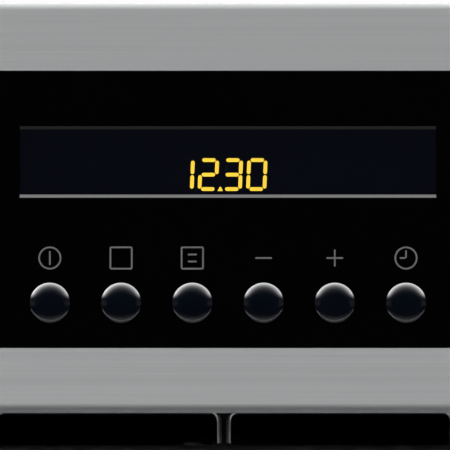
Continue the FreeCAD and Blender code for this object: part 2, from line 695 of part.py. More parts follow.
def tube(name, radius, stops, closed=False):
    """A many-sided tube mitred from stop to stop, its corners on the radius and two flats up and down."""
    reach = number(radius)
    count = len(stops)
    ways = [(stops[(i + 1) % count] - stops[i]).normalize() for i in range(count if closed else count - 1)]
    first = ways[0]
    up = Vector(0, 0, 1) if abs(first.z) < 0.9 else Vector(1, 0, 0)
    side = first.cross(up).normalize()
    up = side.cross(first)
    angles = [math.pi / 2 + math.pi * (2 * k + 1) / TUBE_SIDES for k in range(TUBE_SIDES)]
    ring = [side * (reach * math.cos(a)) + up * (reach * math.sin(a)) for a in angles]
    rings = []
    for index, stop in enumerate(stops):
        inner = closed or 0 < index < count - 1
        before = ways[index - 1] if closed or index else first
        after = ways[index] if index < len(ways) else before
        plane = before + after if inner else before
        ring = [p - before * (p.dot(plane) / before.dot(plane)) for p in ring]
        rings.append([stop + p for p in ring])
    faces = []
    pairs = list(zip(rings, rings[1:] + rings[:1])) if closed else list(zip(rings, rings[1:]))
    for near, far in pairs:
        for k in range(TUBE_SIDES):
            n = (k + 1) % TUBE_SIDES
            faces.append(Part.Face(Part.makePolygon([near[k], near[n], far[n], far[k], near[k]])))
    if not closed:
        faces += [Part.Face(Part.makePolygon(end + end[:1])) for end in (rings[0], rings[-1])]
    skin = Part.makeShell(faces)
    skin.sewShape()
    solid = Part.makeSolid(skin)
    if solid.Volume < 0:
        solid.reverse()
    made = doc.addObject("Part::Feature", name)
    made.Shape = solid
    made.Placement = Placement()
    return made


def bent_tube(name, radius, bend, points, closed=False):
    """A tube along straight runs joined by equal bends."""
    return tube(name, radius, bent_path(points, bend, closed), closed)


def body(name):
    """An empty body for sketched features."""
    return doc.addObject("PartDesign::Body", name)


def sketch(owner, plane, name, offset="0"):
    """A sketch on one of the body's own planes, moved along the plane's normal."""
    made = owner.newObject("Sketcher::SketchObject", name)
    support = [feature for feature in owner.Origin.OriginFeatures if feature.Role == plane]
    made.AttachmentSupport = [(support[0], "")]
    made.MapMode = "FlatFace"
    bind(made, ".AttachmentOffset.Base.z", offset)
    return made


def pin_point(made, geometry, end, x, y):
    """Ties one point of a sketch to expressions for its two places."""
    for kind, text in (("DistanceX", x), ("DistanceY", y)):
        index = made.addConstraint(Sketcher.Constraint(kind, -1, 1, geometry, end, number(text)))
        bind(made, f"Constraints[{index}]", text)


def outline(made, corners):
    """A closed straight-sided outline through corners given as pairs of expressions."""
    points = [Vector(number(x), number(y), 0) for x, y in corners]
    first = made.GeometryCount
    for here, there in zip(points, points[1:] + points[:1]):
        made.addGeometry(Part.LineSegment(here, there))
    for index in range(len(points)):
        following = first + (index + 1) % len(points)
        made.addConstraint(Sketcher.Constraint("Coincident", first + index, 2, following, 1))
    for index, (x, y) in enumerate(corners):
        pin_point(made, first + index, 1, x, y)
    return made


def rectangle(made, x, y):
    """A rectangle between two pairs of lines."""
    return outline(made, [(x[0], y[0]), (x[1], y[0]), (x[1], y[1]), (x[0], y[1])])


def polygon(radius, sides):
    """Corners of an even polygon about the middle, as pairs of expressions."""
    turns = [2 * math.pi * index / sides for index in range(sides)]
    return [(f"({radius}) * {math.cos(turn):.9f}", f"({radius}) * {math.sin(turn):.9f}") for turn in turns]


def disc(made, radius, x="0", y="0"):
    """A circle tied to the sheet."""
    place = Vector(number(x), number(y), 0)
    index = made.addGeometry(Part.Circle(place, Vector(0, 0, 1), number(radius)))
    pin_point(made, index, 3, x, y)
    limit = made.addConstraint(Sketcher.Constraint("Radius", index, number(radius)))
    bind(made, f"Constraints[{limit}]", radius)
    return made


def feature(owner, kind, name, profile, length=None, back=False):
    """A pad or a pocket of a profile; without a length a pocket goes right through."""
    made = owner.newObject(f"PartDesign::{kind}", name)
    made.Profile = profile
    made.Reversed = back
    if length is None:
        made.Type = "ThroughAll"
    else:
        bind(made, "Length", length)
    owner.Tip = made
    doc.recompute()
    return made


def row_of(owner, name, original, profile, length, count):
    """A feature repeated along the sketch's first axis over a length."""
    made = owner.newObject("PartDesign::LinearPattern", name)
    made.Originals = [original]
    made.Direction = (profile, ["H_Axis"])
    bind(made, "Length", length)
    made.Occurrences = count
    owner.Tip = made
    doc.recompute()
    return made


def ring_of(owner, name, original, role, count):
    """A feature repeated around one of the body's own axes."""
    made = owner.newObject("PartDesign::PolarPattern", name)
    made.Originals = [original]
    axis = [item for item in owner.Origin.OriginFeatures if item.Role == role]
    made.Axis = (axis[0], [""])
    made.Angle = 360
    made.Occurrences = count
    owner.Tip = made
    doc.recompute()
    return made


def soften(owner, kind, name, size_name, size, test):
    """A fillet or chamfer on the edges of the body's tip that pass a test."""
    base = owner.Tip
    picked = [f"Edge{index}" for index, edge in enumerate(base.Shape.Edges, 1) if test(edge)]
    made = owner.newObject(f"PartDesign::{kind}", name)
    made.Base = (base, picked)
    bind(made, size_name, size)
    owner.Tip = made
    doc.recompute()
    return made


def loft(owner, kind, name, first, last):
    """A loft between two sketches."""
    made = owner.newObject(f"PartDesign::{kind}", name)
    made.Profile = first
    made.Sections = [last]
    made.Ruled = True
    owner.Tip = made
    doc.recompute()
    return made


# Chassis


def pressed_field(name, plate, axis, spans, outer, inner):
    """A plate with a field pressed inward: a raised pan fused on and hollowed from outside."""
    pan, hollow = {}, {}
    for key, (low, high) in spans.items():
        pan[key] = (low, high)
        hollow[key] = (f"{low} + sheet_steel", f"{high} - sheet_steel")
    pan[axis] = outer
    hollow[axis] = inner
    raised = block(f"{name}_pan", pan["x"], pan["y"], pan["z"])
    raised = bevelled(f"{name}_pan_corners", raised, "press_corner", straight_along(axis))
    room = block(f"{name}_room", hollow["x"], hollow["y"], hollow["z"])
    room = bevelled(f"{name}_room_corners", room, "press_corner", straight_along(axis))
    return cut(name, fuse(f"{name}_plate", [plate, raised]), [room])


wall = body("side_wall")
profile = outline(
    sketch(wall, "XZ_Plane", "side_wall_fold"),
    [
        (WALL_INNER, "chassis_lift"),
        ("chassis_width / 2", "chassis_lift"),
        ("chassis_width / 2", WALL_TOP),
        (f"{WALL_INNER} - fold_width", WALL_TOP),
        (f"{WALL_INNER} - fold_width", f"{WALL_TOP} - sheet_steel"),
        (WALL_INNER, f"{WALL_TOP} - sheet_steel"),
    ],
)
feature(wall, "Pad", "side_wall_pad", profile, REAR_INNER, back=True)
slots = sketch(wall, "YZ_Plane", "side_wall_slots", "chassis_width / 2")
rectangle(
    slots,
    ("press_margin", "press_margin + louvre_width"),
    (f"{DECK_TOP} + louvre_rise", f"{DECK_TOP} + louvre_rise + louvre_length"),
)
louvre = feature(wall, "Pocket", "side_wall_louvre", slots, "sheet_steel")
row_of(wall, "side_wall_louvres", louvre, slots, f"{SIDE_LOUVRES - 1} * louvre_pitch", SIDE_LOUVRES)
side_right = pressed_field(
    "side_panel_pressed",
    wall,
    "x",
    {"y": ("press_margin", f"{REAR_INNER} - press_margin"), "z": ("press_margin", "press_high")},
    (f"{WALL_INNER} - press_depth", WALL_INNER),
    (f"{WALL_INNER} - press_depth + sheet_steel", "chassis_width / 2"),
)
keep(side_right, "side_panel_right")
keep(mirrored("side_panel_mirror", side_right), "side_panel_left")

pan = block("pan_blank", both(WALL_INNER), ("0", REAR_INNER), ("0", "pan_height"))
pan_room = block(
    "pan_room",
    both(f"{WALL_INNER} - sheet_steel"),
    ("sheet_steel", f"{REAR_INNER} - sheet_steel"),
    ("sheet_steel", "pan_height"),
)
pan_slots = []
for index in range(PAN_SLOTS):
    middle = f"{index - (PAN_SLOTS - 1) / 2} * pan_slot_pitch"
    pan_slots.append(
        block(
            f"pan_slot_{index}",
            (f"{middle} - pan_slot / 2", f"{middle} + pan_slot / 2"),
            ("pan_slot_place", "pan_slot_place + louvre_width"),
            ("0", "sheet_steel"),
        )
    )
keep(cut("base_pan_cut", pan, [pan_room] + pan_slots), "base_pan")

rear = block(
    "rear_blank", both("chassis_width / 2"), (REAR_INNER, "chassis_depth"), ("chassis_lift", WALL_TOP)
)
rear_cuts = [
    block(
        "rear_inlet",
        ("inlet_x - terminal_width / 2 - inlet_gap", "inlet_x + terminal_width / 2 + inlet_gap"),
        (REAR_INNER, "chassis_depth"),
        ("inlet_z - terminal_height / 2 - inlet_gap", WALL_TOP),
    )
]
for index in range(REAR_LOUVRES):
    start = f"({index + 1} - {REAR_LOUVRES}) * louvre_pitch"
    rear_cuts.append(
        block(
            f"rear_slot_{index}",
            (start, f"{start} + louvre_width"),
            (REAR_INNER, "chassis_depth"),
            (f"{DECK_TOP} + louvre_rise", f"{DECK_TOP} + louvre_rise + louvre_length"),
        )
    )
rear_plate = cut("rear_plate", rear, rear_cuts)
keep(
    pressed_field(
        "rear_pressed",
        rear_plate,
        "y",
        {"x": both(f"{WALL_INNER} - press_margin"), "z": ("press_margin", "press_high")},
        (f"{REAR_INNER} - press_depth", REAR_INNER),
        (f"{REAR_INNER} - press_depth + sheet_steel", "chassis_depth"),
    ),
    "rear_panel",
)

top = block("top_blank", both("chassis_width / 2"), ("0", "chassis_depth"), (WALL_TOP, "chassis_height"))
top_slots = []
for index in range(TOP_LOUVRES):
    start = f"blower_x + {index - (TOP_LOUVRES - 1) / 2} * top_pitch - louvre_width / 2"
    top_slots.append(
        block(
            f"top_slot_{index}",
            (start, f"{start} + louvre_width"),
            ("blower_y - louvre_length", "blower_y + louvre_length"),
            (WALL_TOP, "chassis_height"),
        )
    )
keep(cut("top_cut", top, top_slots), "top_cover")

deck = block("deck_blank", both(WALL_INNER), ("deck_front", REAR_INNER), ("deck_height", DECK_TOP))
deck_rim = block(
    "deck_rim",
    both(f"{WALL_INNER} - fold_width"),
    (f"{REAR_INNER} - sheet_steel", REAR_INNER),
    (DECK_TOP, f"{DECK_TOP} + fold_width"),
)
keep(fuse("deck_folded", [deck, deck_rim]), "deck_plate")

# Front frame: a flange against the cabinet and a recess that takes the door's inner half

flange = block("frame_flange", both("frame_width / 2"), ("0 - frame_sheet", "0"), ("frame_low", "frame_high"))
tub = block(
    "frame_tub",
    both("recess_width / 2 + frame_sheet"),
    ("0 - frame_sheet", MOUTH),
    ("recess_low - frame_sheet", "recess_high + frame_sheet"),
)
recess = block(
    "frame_recess",
    both("recess_width / 2"),
    ("0 - frame_sheet", "recess_depth"),
    ("recess_low", "recess_high"),
)
mouth = bevelled_block(
    "frame_mouth",
    "y",
    "cavity_corner",
    both("cavity_width / 2"),
    ("recess_depth", MOUTH),
    ("cavity_floor", CAVITY_TOP),
)
frame_cuts = [recess, mouth]
for side in (-1, 1):
    frame_cuts.append(
        block(
            f"frame_hinge_slot_{side + 1}",
            (
                f"{side} * hinge_place - arm_sheet / 2 - receiver_gap",
                f"{side} * hinge_place + arm_sheet / 2 + receiver_gap",
            ),
            ("recess_depth", MOUTH),
            ("hinge_height - arm_eye - receiver_gap", "hinge_height + arm_eye + receiver_gap"),
        )
    )
    for rise in (-1, 1):
        frame_cuts.append(
            rod(
                f"frame_hole_{side + 1}_{rise + 1}",
                "y",
                "cabinet_hole",
                "0 - frame_sheet",
                "0",
                (f"{side} * cabinet_hole_span / 2", f"cabinet_hole_mid + {rise} * cabinet_hole_rise / 2"),
            )
        )
keep(cut("frame_cut", fuse("frame_blank", [flange, tub]), frame_cuts), "front_frame")

trim = body("trim")
trim_profile = sketch(trim, "YZ_Plane", "trim_fold", f"0 - {HALF_FRONT}")
trim_front = "(0 - frame_sheet - trim_depth)"
outline(
    trim_profile,
    [
        (trim_front, "front_bottom"),
        (trim_front, "front_bottom + trim_height"),
        ("0 - frame_sheet", "front_bottom + trim_height"),
        ("0 - frame_sheet", "front_bottom + trim_height - rail_sheet"),
        (f"{trim_front} + rail_sheet", "front_bottom + trim_height - rail_sheet"),
        (f"{trim_front} + rail_sheet", "front_bottom"),
    ],
)
feature(trim, "Pad", "trim_pad", trim_profile, "front_width")
trim_slots = sketch(trim, "XZ_Plane", "trim_slots", f"0 - {trim_front}")
trim_start = f"0 - {(TRIM_SLOTS - 1) / 2} * trim_pitch"
rectangle(
    trim_slots,
    (f"{trim_start} - trim_slot / 2", f"{trim_start} + trim_slot / 2"),
    ("front_bottom + trim_slot_low", "front_bottom + trim_slot_low + trim_slot_height"),
)
trim_slot = feature(trim, "Pocket", "trim_slot", trim_slots, "rail_sheet")
row_of(trim, "trim_row", trim_slot, trim_slots, f"{TRIM_SLOTS - 1} * trim_pitch", TRIM_SLOTS)
keep(trim, "bottom_trim")

# Cavity shell with its wall openings, and the wool around it

shell = bevelled_block(
    "cavity_outer",
    "y",
    "cavity_corner + cavity_sheet * (2 - sqrt(2))",
    both("cavity_width / 2 + cavity_sheet"),
    (MOUTH, CAVITY_REAR_OUT),
    ("cavity_floor - cavity_sheet", f"{CAVITY_TOP} + cavity_sheet"),
)
room = bevelled_block(
    "cavity_inner",
    "y",
    "cavity_corner",
    both("cavity_width / 2"),
    (MOUTH, CAVITY_REAR),
    ("cavity_floor", CAVITY_TOP),
)
wall_holes = [
    ("shaft", "shaft_hole", "0", "fan_height"),
    ("probe", "probe_radius + tube_gap", "lamp_place", LAMP_HEIGHT),
]
cavity_cuts = [room]
for name, radius, x, z in wall_holes:
    cavity_cuts.append(
        bar(f"cavity_{name}_hole", "y", radius, CAVITY_REAR, CAVITY_REAR_OUT, (x, z), TUBE_SIDES)
    )


def lamp_block(name, width, height, y):
    """A block about the lamp's axis."""
    return block(
        name,
        (f"0 - lamp_place - ({width}) / 2", f"0 - lamp_place + ({width}) / 2"),
        y,
        (f"{LAMP_HEIGHT} - ({height}) / 2", f"{LAMP_HEIGHT} + ({height}) / 2"),
    )


HEATER_PLATES = (("grill", "grill_ends", GRILL_HEIGHT), ("ring", "ring_ends", RING_END))


def heater_block(name, half, height, margin, y):
    """A flat block around a heater's two ends."""
    return block(
        name,
        both(f"{half} + tube_radius + ({margin})"),
        y,
        (f"{height} - tube_radius - ({margin})", f"{height} + tube_radius + ({margin})"),
    )


for name, half, height in HEATER_PLATES:
    cavity_cuts.append(
        heater_block(f"cavity_{name}_hole", half, height, "tube_gap", (CAVITY_REAR, CAVITY_REAR_OUT))
    )
heater_plates = {
    name: heater_block(
        f"{name}_plate", half, height, "plate_margin", (CAVITY_REAR_OUT, f"{CAVITY_REAR_OUT} + cavity_sheet")
    )
    for name, half, height in HEATER_PLATES
}
cavity_cuts.append(
    lamp_block(
        "cavity_lamp_hole",
        "holder_width + tube_gap * 2",
        "holder_height + tube_gap * 2",
        (CAVITY_REAR, CAVITY_REAR_OUT),
    )
)
keep(cut("cavity_cut", shell, cavity_cuts), "cavity")

wool_inner = "(cavity_width / 2 + cavity_sheet + wool_gap)"
wool_low = "(cavity_floor - cavity_sheet - wool_drop)"
wool_top = f"({CAVITY_TOP} + cavity_sheet + wool_gap)"
wool_rear = f"({CAVITY_REAR_OUT} + wool_gap)"
wool = block(
    "wool_blank",
    both(f"{wool_inner} + wool_thickness"),
    (f"{MOUTH} + wool_gap", f"{wool_rear} + wool_thickness"),
    (f"{wool_low} - wool_thickness", f"{wool_top} + wool_thickness"),
)
wool_cuts = [
    block("wool_room", both(wool_inner), (f"{MOUTH} + wool_gap", wool_rear), (wool_low, wool_top)),
    block(
        "wool_motor_hole",
        both("ring_radius + wool_clear"),
        (wool_rear, f"{wool_rear} + wool_thickness"),
        ("fan_height - ring_radius - wool_clear", "fan_height + ring_radius + wool_clear"),
    ),
    lamp_block(
        "wool_lamp_hole",
        "holder_width + holder_flange * 2 + wool_clear * 2",
        "holder_height + holder_flange * 2 + wool_clear * 2",
        (wool_rear, f"{wool_rear} + wool_thickness"),
    ),
    block(
        "wool_probe_hole",
        ("lamp_place - probe_flange - wool_clear", "lamp_place + probe_flange + wool_clear"),
        (wool_rear, f"{wool_rear} + wool_thickness"),
        (f"{LAMP_HEIGHT} - probe_flange - wool_clear", f"{LAMP_HEIGHT} + probe_flange + wool_clear"),
    ),
]
for name, half, height in (
    ("grill", "grill_ends", GRILL_HEIGHT),
    ("floor", "floor_heater_ends", FLOOR_HEATER),
):
    wool_cuts.append(
        heater_block(
            f"wool_{name}_hole",
            half,
            height,
            "plate_margin + wool_gap",
            (wool_rear, f"{wool_rear} + wool_thickness"),
        )
    )
for side in (-1, 1):
    wool_cuts.append(
        block(
            f"wool_hinge_{side + 1}",
            (
                f"{side} * hinge_place - {RECEIVER_HALF} - wool_clear",
                f"{side} * hinge_place + {RECEIVER_HALF} + wool_clear",
            ),
            (f"{MOUTH} + wool_gap", "receiver_back + wool_clear"),
            (f"{wool_low} - wool_thickness", "receiver_high + wool_clear"),
        )
    )
keep(cut("wool_cut", wool, wool_cuts), "insulation")

seal_x = "(cavity_width / 2 + seal_margin)"
seal_y = "recess_depth - seal_gap - seal_radius"
seal_low = "cavity_floor - seal_margin"
seal_high = f"{CAVITY_TOP} + seal_margin"
keep(
    bent_tube(
        "seal_tube",
        "seal_radius",
        "seal_corner",
        [
            (f"0 - {seal_x}", seal_y, seal_low),
            (seal_x, seal_y, seal_low),
            (seal_x, seal_y, seal_high),
            (f"0 - {seal_x}", seal_y, seal_high),
        ],
        closed=True,
    ),
    "door_seal",
)

# Fan cover: a pressed hood with two rings of intake slots and outlet slots in its sides

cover_front = f"({CAVITY_REAR} - cover_depth)"
hood = rounded_block(
    "hood_blank",
    "y",
    "cover_corner",
    both("cover_width / 2"),
    (cover_front, CAVITY_REAR),
    ("fan_height - cover_height / 2", "fan_height + cover_height / 2"),
)
hood_room = rounded_block(
    "hood_room_blank",
    "y",
    "cover_corner - cover_sheet",
    both("cover_width / 2 - cover_sheet"),
    (f"{cover_front} + cover_sheet", CAVITY_REAR),
    ("fan_height - cover_height / 2 + cover_sheet", "fan_height + cover_height / 2 - cover_sheet"),
)
hood_cuts = [hood_room]
for ring, (low, high, count) in enumerate(INTAKE_RINGS):
    for index in range(count):
        slot = block(
            f"intake_{ring}_{index}",
            (low, high),
            (cover_front, f"{cover_front} + cover_sheet"),
            ("0 - intake_width / 2", "intake_width / 2"),
        )
        turned = group(f"intake_turned_{ring}_{index}", [slot])
        turned.Placement = Placement(Vector(), Rotation(Vector(0, 1, 0), index * 360 / count))
        bind(turned, ".Placement.Base.z", "fan_height")
        hood_cuts.append(turned)
cover_middle = f"({CAVITY_REAR} - cover_depth / 2)"
outlet_y = (f"{cover_middle} - outlet_width / 2", f"{cover_middle} + outlet_width / 2")
for side in (-1, 1):
    outer_x = sorted(
        (f"{side} * cover_width / 2", f"{side} * (cover_width / 2 - cover_sheet)"), key=number
    )
    for index in range(OUTLETS):
        middle = f"fan_height + {index - (OUTLETS - 1) / 2} * outlet_pitch"
        hood_cuts.append(
            block(
                f"outlet_side_{side + 1}_{index}",
                outer_x,
                outlet_y,
                (f"{middle} - outlet_length / 2", f"{middle} + outlet_length / 2"),
            )
        )
    outer_z = sorted(
        (
            f"fan_height + {side} * cover_height / 2",
            f"fan_height + {side} * (cover_height / 2 - cover_sheet)",
        ),
        key=number,
    )
    for index in range(OUTLETS):
        middle = f"{index - (OUTLETS - 1) / 2} * outlet_pitch"
        hood_cuts.append(
            block(
                f"outlet_end_{side + 1}_{index}",
                (f"{middle} - outlet_length / 2", f"{middle} + outlet_length / 2"),
                outlet_y,
                outer_z,
            )
        )
keep(cut("hood_cut", hood, hood_cuts), "fan_cover")

# Heaters: a serpentine grill, a loop under the floor and a ring around the fan

grill_runs = [
    ("0 - grill_ends", "heater_back"),
    ("0 - grill_ends", "grill_rear"),
    ("0 - grill_outer", "grill_rear"),
]
passes = [f"(0 - grill_outer + {index} * grill_pitch)" for index in range(3)]
grill_runs += [
    (passes[0], "grill_front"),
    (passes[1], "grill_front"),
    (passes[1], "grill_turn"),
    (passes[2], "grill_turn"),
    (passes[2], "grill_front"),
]
grill_runs += [(f"0 - ({x})", y) for x, y in reversed(grill_runs)]
grill = bent_tube(
    "grill_tube", "tube_radius", "heater_bend", [(x, y, GRILL_HEIGHT) for x, y in grill_runs]
)
straps = [
    block(
        f"grill_strap_{side + 1}",
        (
            f"{side} * (grill_outer - grill_pitch) - strap_half",
            f"{side} * (grill_outer - grill_pitch) + strap_half",
        ),
        ("strap_front", "strap_front + strap_depth"),
        (GRILL_HEIGHT, CAVITY_TOP),
    )
    for side in (-1, 1)
]
keep(fuse("grill_fused", [grill, heater_plates["grill"]] + straps), "grill_element")

floor_runs = [
    ("0 - floor_heater_ends", "floor_heater_back"),
    ("0 - floor_heater_ends", "floor_heater_rear"),
    ("0 - floor_heater_half", "floor_heater_rear"),
    ("0 - floor_heater_half", "floor_heater_front"),
]
floor_runs += [(f"0 - ({x})", y) for x, y in reversed(floor_runs)]
keep(
    bent_tube("floor_tube", "tube_radius", "heater_bend", [(x, y, FLOOR_HEATER) for x, y in floor_runs]),
    "bottom_element",
)


def ring_stop(turn):
    """A point of the ring element's circle, turned from its lowest point."""
    reach = number("ring_radius")
    middle = Vector(0, number("ring_place"), number("fan_height"))
    return middle + Vector(reach * math.sin(turn), 0, -reach * math.cos(turn))


ring_open = math.asin(number("ring_ends / ring_radius"))
ring_turns = [ring_open + (2 * math.pi - 2 * ring_open) * step / RING_STEPS for step in range(RING_STEPS + 1)]
ring_stops = [ring_stop(turn) for turn in ring_turns]
ring_back = Vector(0, number("heater_back - ring_place"), 0)
ring_tube = tube(
    "ring_tube", "tube_radius", [ring_stops[0] + ring_back] + ring_stops + [ring_stops[-1] + ring_back]
)
keep(fuse("ring_fused", [ring_tube, heater_plates["ring"]]), "ring_element")

# Lamp and temperature probe in the rear wall

holder_face = f"({CAVITY_REAR} - holder_front)"
holder_can = lamp_block("holder_can", "holder_width", "holder_height", (holder_face, "holder_back"))
holder_rim = lamp_block(
    "holder_rim",
    "holder_width + holder_flange * 2",
    "holder_height + holder_flange * 2",
    (CAVITY_REAR_OUT, f"{CAVITY_REAR_OUT} + holder_wall"),
)
holder_room = lamp_block(
    "holder_room",
    "holder_width - holder_wall * 2",
    "holder_height - holder_wall * 2",
    (holder_face, "holder_back - holder_wall"),
)
keep(cut("holder_cut", fuse("holder_fused", [holder_can, holder_rim]), [holder_room]), "lamp_holder")

bulb_foot = "(holder_back - holder_wall)"
bulb_neck = f"({bulb_foot} - bulb_base_depth)"
bulb = lamp_block("bulb_capsule", "bulb_width", "bulb_height", (f"{bulb_neck} - bulb_length", bulb_neck))
bulb = bevelled("bulb_tip", bulb, "bulb_bevel", lies_on("y", f"{bulb_neck} - bulb_length"))
bulb_block = lamp_block("bulb_block", "bulb_base", "bulb_base", (bulb_neck, bulb_foot))
keep(fuse("bulb_fused", [bulb, bulb_block]), "lamp_bulb")

lamp_front = f"({holder_face} - lamp_reach)"
lamp_pane = lamp_block("lamp_pane", "lamp_width", "lamp_height", (lamp_front, holder_face))
lamp_bevelled = bevelled("lamp_bevelled", lamp_pane, "lamp_bevel", lies_on("y", lamp_front))
lamp_room = lamp_block(
    "lamp_room",
    "holder_width - holder_wall * 2",
    "holder_height - holder_wall * 2",
    (f"{lamp_front} + lamp_wall", holder_face),
)
keep(cut("lamp_cut", lamp_bevelled, [lamp_room]), "lamp_glass")

probe_rod = bar(
    "probe_rod",
    "y",
    "probe_radius",
    f"{CAVITY_REAR} - probe_reach",
    f"{CAVITY_REAR_OUT} + probe_flange",
    ("lamp_place", LAMP_HEIGHT),
    TUBE_SIDES,
)
probe_disc = block(
    "probe_disc",
    ("lamp_place - probe_flange", "lamp_place + probe_flange"),
    (CAVITY_REAR_OUT, f"{CAVITY_REAR_OUT} + holder_wall"),
    (f"{LAMP_HEIGHT} - probe_flange", f"{LAMP_HEIGHT} + probe_flange"),
)
keep(fuse("probe_fused", [probe_rod, probe_disc]), "temperature_probe")

# Shelf rails, wire shelf and baking tray


def level_height(level):
    """Axis height of a level's carrying wire."""
    return f"(cavity_floor + level_first + {level} * level_pitch)"


rail_x = "(cavity_width / 2 - rail_inset)"
post_x = "(cavity_width / 2 - rail_gap - rail_post)"
rail_pieces = []
for level in range(LEVEL_COUNT):
    for tier, height in enumerate((level_height(level), f"{level_height(level)} + level_guard")):
        rail_pieces.append(
            bar(f"rail_wire_{level}_{tier}", "y", "rail_wire", "rail_front", "rail_back", (rail_x, height))
        )
rail_low = f"({level_height(0)} - rail_tail)"
rail_top = f"({level_height(LEVEL_COUNT - 1)} + level_guard + rail_tail)"
for index, y in enumerate(("rail_post_front", "rail_post_back")):
    rail_pieces.append(bar(f"rail_post_{index}", "z", "rail_post", rail_low, rail_top, (post_x, y)))
    for tier, height in enumerate((f"{rail_low} + stud_inset", f"{rail_top} - stud_inset")):
        rail_pieces.append(
            bar(f"rail_stud_{index}_{tier}", "x", "rail_stud", post_x, "cavity_width / 2", (y, height))
        )
rails = fuse("rails_fused", rail_pieces)
keep(group("rail_pair", [rails, mirrored("rails_mirror", rails)]), "shelf_rails")

shelf_z = f"({level_height(SHELF_LEVEL)} + rail_wire + rest_gap + shelf_wire)"


def shelf_loop(name, inset, bend):
    """The shelf frame's outer form, or its inside when set in by the wire."""
    return rounded_block(
        name,
        "z",
        bend,
        both(f"shelf_half + shelf_wire - {inset}"),
        (f"shelf_front + {inset}", f"shelf_back - {inset}"),
        (f"{shelf_z} - shelf_wire", f"{shelf_z} + shelf_wire"),
    )


shelf_pieces = [
    cut(
        "shelf_frame",
        shelf_loop("shelf_outer", "0", "shelf_bend"),
        [shelf_loop("shelf_inner", "shelf_wire * 2", "shelf_bend - shelf_wire * 2")],
    )
]
for index in range(SHELF_RODS):
    shelf_pieces.append(
        bar(
            f"shelf_rod_{index}",
            "y",
            "shelf_rod",
            "shelf_front + shelf_wire * 2",
            "shelf_back - shelf_wire * 2",
            (f"{index - (SHELF_RODS - 1) / 2} * shelf_pitch", shelf_z),
        )
    )
keep(fuse("shelf_fused", shelf_pieces), "wire_shelf")

tray_z = f"({level_height(TRAY_LEVEL)} + rail_wire + rest_gap)"
tray_top = f"({tray_z} + tray_sheet)"
tray = body("tray")


def tray_section(name, height, inset):
    """A rectangle of the tray at a height, set in from the rim's edge."""
    made = sketch(tray, "XY_Plane", name, height)
    return rectangle(made, both(f"tray_rim - {inset}"), (f"tray_front + {inset}", f"tray_back - {inset}"))


tray_foot = f"({tray_z} - tray_depth)"
loft(
    tray,
    "AdditiveLoft",
    "tray_bowl",
    tray_section("tray_floor", tray_foot, "(tray_wall_inset + tray_slope)"),
    tray_section("tray_edge", tray_z, "tray_wall_inset"),
)
feature(tray, "Pad", "tray_rim_pad", tray_section("tray_rim", tray_z, "0"), "tray_sheet")
loft(
    tray,
    "SubtractiveLoft",
    "tray_hollow",
    tray_section("tray_floor_in", f"{tray_foot} + tray_sheet", "(tray_wall_inset + tray_slope + tray_sheet)"),
    tray_section("tray_edge_in", tray_top, "(tray_wall_inset + tray_sheet)"),
)
keep(tray, "baking_tray")

# Convection fan, its shaft with the rotor nut, and its motor behind the cavity

fan = body("fan")
hub_profile = sketch(fan, "XZ_Plane", "hub_profile")
outline(hub_profile, polygon("fan_hub", TUBE_SIDES))
disc(hub_profile, "shaft_radius")
feature(fan, "Pad", "hub_pad", hub_profile, "fan_depth")
arm_profile = sketch(fan, "XZ_Plane", "arm_profile")
outline(
    arm_profile,
    [
        ("arm_root", "0 - arm_root_half"),
        ("fan_radius", "0 - fan_arm / 2"),
        ("fan_radius", "fan_arm / 2"),
        ("arm_root", "arm_root_half"),
    ],
)
arm_pad = feature(fan, "Pad", "arm_pad", arm_profile, "fan_sheet")
ring_of(fan, "arm_ring", arm_pad, "Y_Axis", FAN_BLADES)
blade_profile = sketch(fan, "XZ_Plane", "blade_profile", "fan_sheet / 2")
outline(
    blade_profile,
    [
        ("blade_root", "0 - fan_sheet"),
        ("fan_radius", "fan_arm / 2 - fan_sheet"),
        ("fan_radius", "fan_arm / 2"),
        ("blade_root", "0"),
    ],
)
blade = feature(fan, "Pad", "blade_pad", blade_profile, "fan_depth - fan_sheet / 2")
ring_of(fan, "blade_ring", blade, "Y_Axis", FAN_BLADES)
move(fan, "0", "fan_front + fan_depth", "fan_height")
keep(fan, "convection_fan")

motor_back = "(motor_face + motor_plate + motor_depth)"
shaft = rod("shaft_rod", "y", "shaft_radius", "fan_front", motor_back, ("0", "fan_height"))
nut = bar("shaft_nut", "y", "nut_half", "shaft_front", "fan_front", ("0", "fan_height"), TUBE_SIDES)
keep(fuse("shaft_fused", [shaft, nut]), "fan_shaft")

motor_pieces = [
    block(
        "motor_core",
        both("motor_width / 2"),
        ("motor_face + motor_plate", motor_back),
        ("fan_height - motor_height / 2", "fan_height + motor_height / 2"),
    ),
    block(
        "motor_bracket",
        both("motor_leg_reach + motor_leg * 2"),
        ("motor_face", "motor_face + motor_plate"),
        ("fan_height - motor_bracket", "fan_height + motor_bracket"),
    ),
    block(
        "motor_coil",
        both("coil_half"),
        ("motor_face + motor_plate - coil_over", f"{motor_back} + coil_over"),
        ("fan_height + motor_height / 2", "fan_height + motor_height / 2 + coil_height"),
    ),
    block(
        "motor_cap",
        both("motor_cap"),
        (motor_back, f"{motor_back} + motor_cap_depth"),
        ("fan_height - motor_cap_rise", "fan_height + motor_cap_rise"),
    ),
]
for side in (-1, 1):
    motor_pieces.append(
        block(
            f"motor_leg_{side + 1}",
            (f"{side} * motor_leg_reach - motor_leg", f"{side} * motor_leg_reach + motor_leg"),
            (CAVITY_REAR_OUT, "motor_face"),
            ("fan_height - motor_leg", "fan_height + motor_leg"),
        )
    )
motor_bore = rod(
    "motor_bore",
    "y",
    "shaft_radius + running_gap",
    "motor_face",
    f"{motor_back} + shaft_end_gap",
    ("0", "fan_height"),
)
keep(cut("motor_cut", fuse("motor_fused", motor_pieces), [motor_bore]), "fan_motor")

# Cooling blower on the deck: spiral housing, bladed wheel, motor on legs, duct to the vent grille

blower_top = f"({DECK_TOP} + blower_height)"


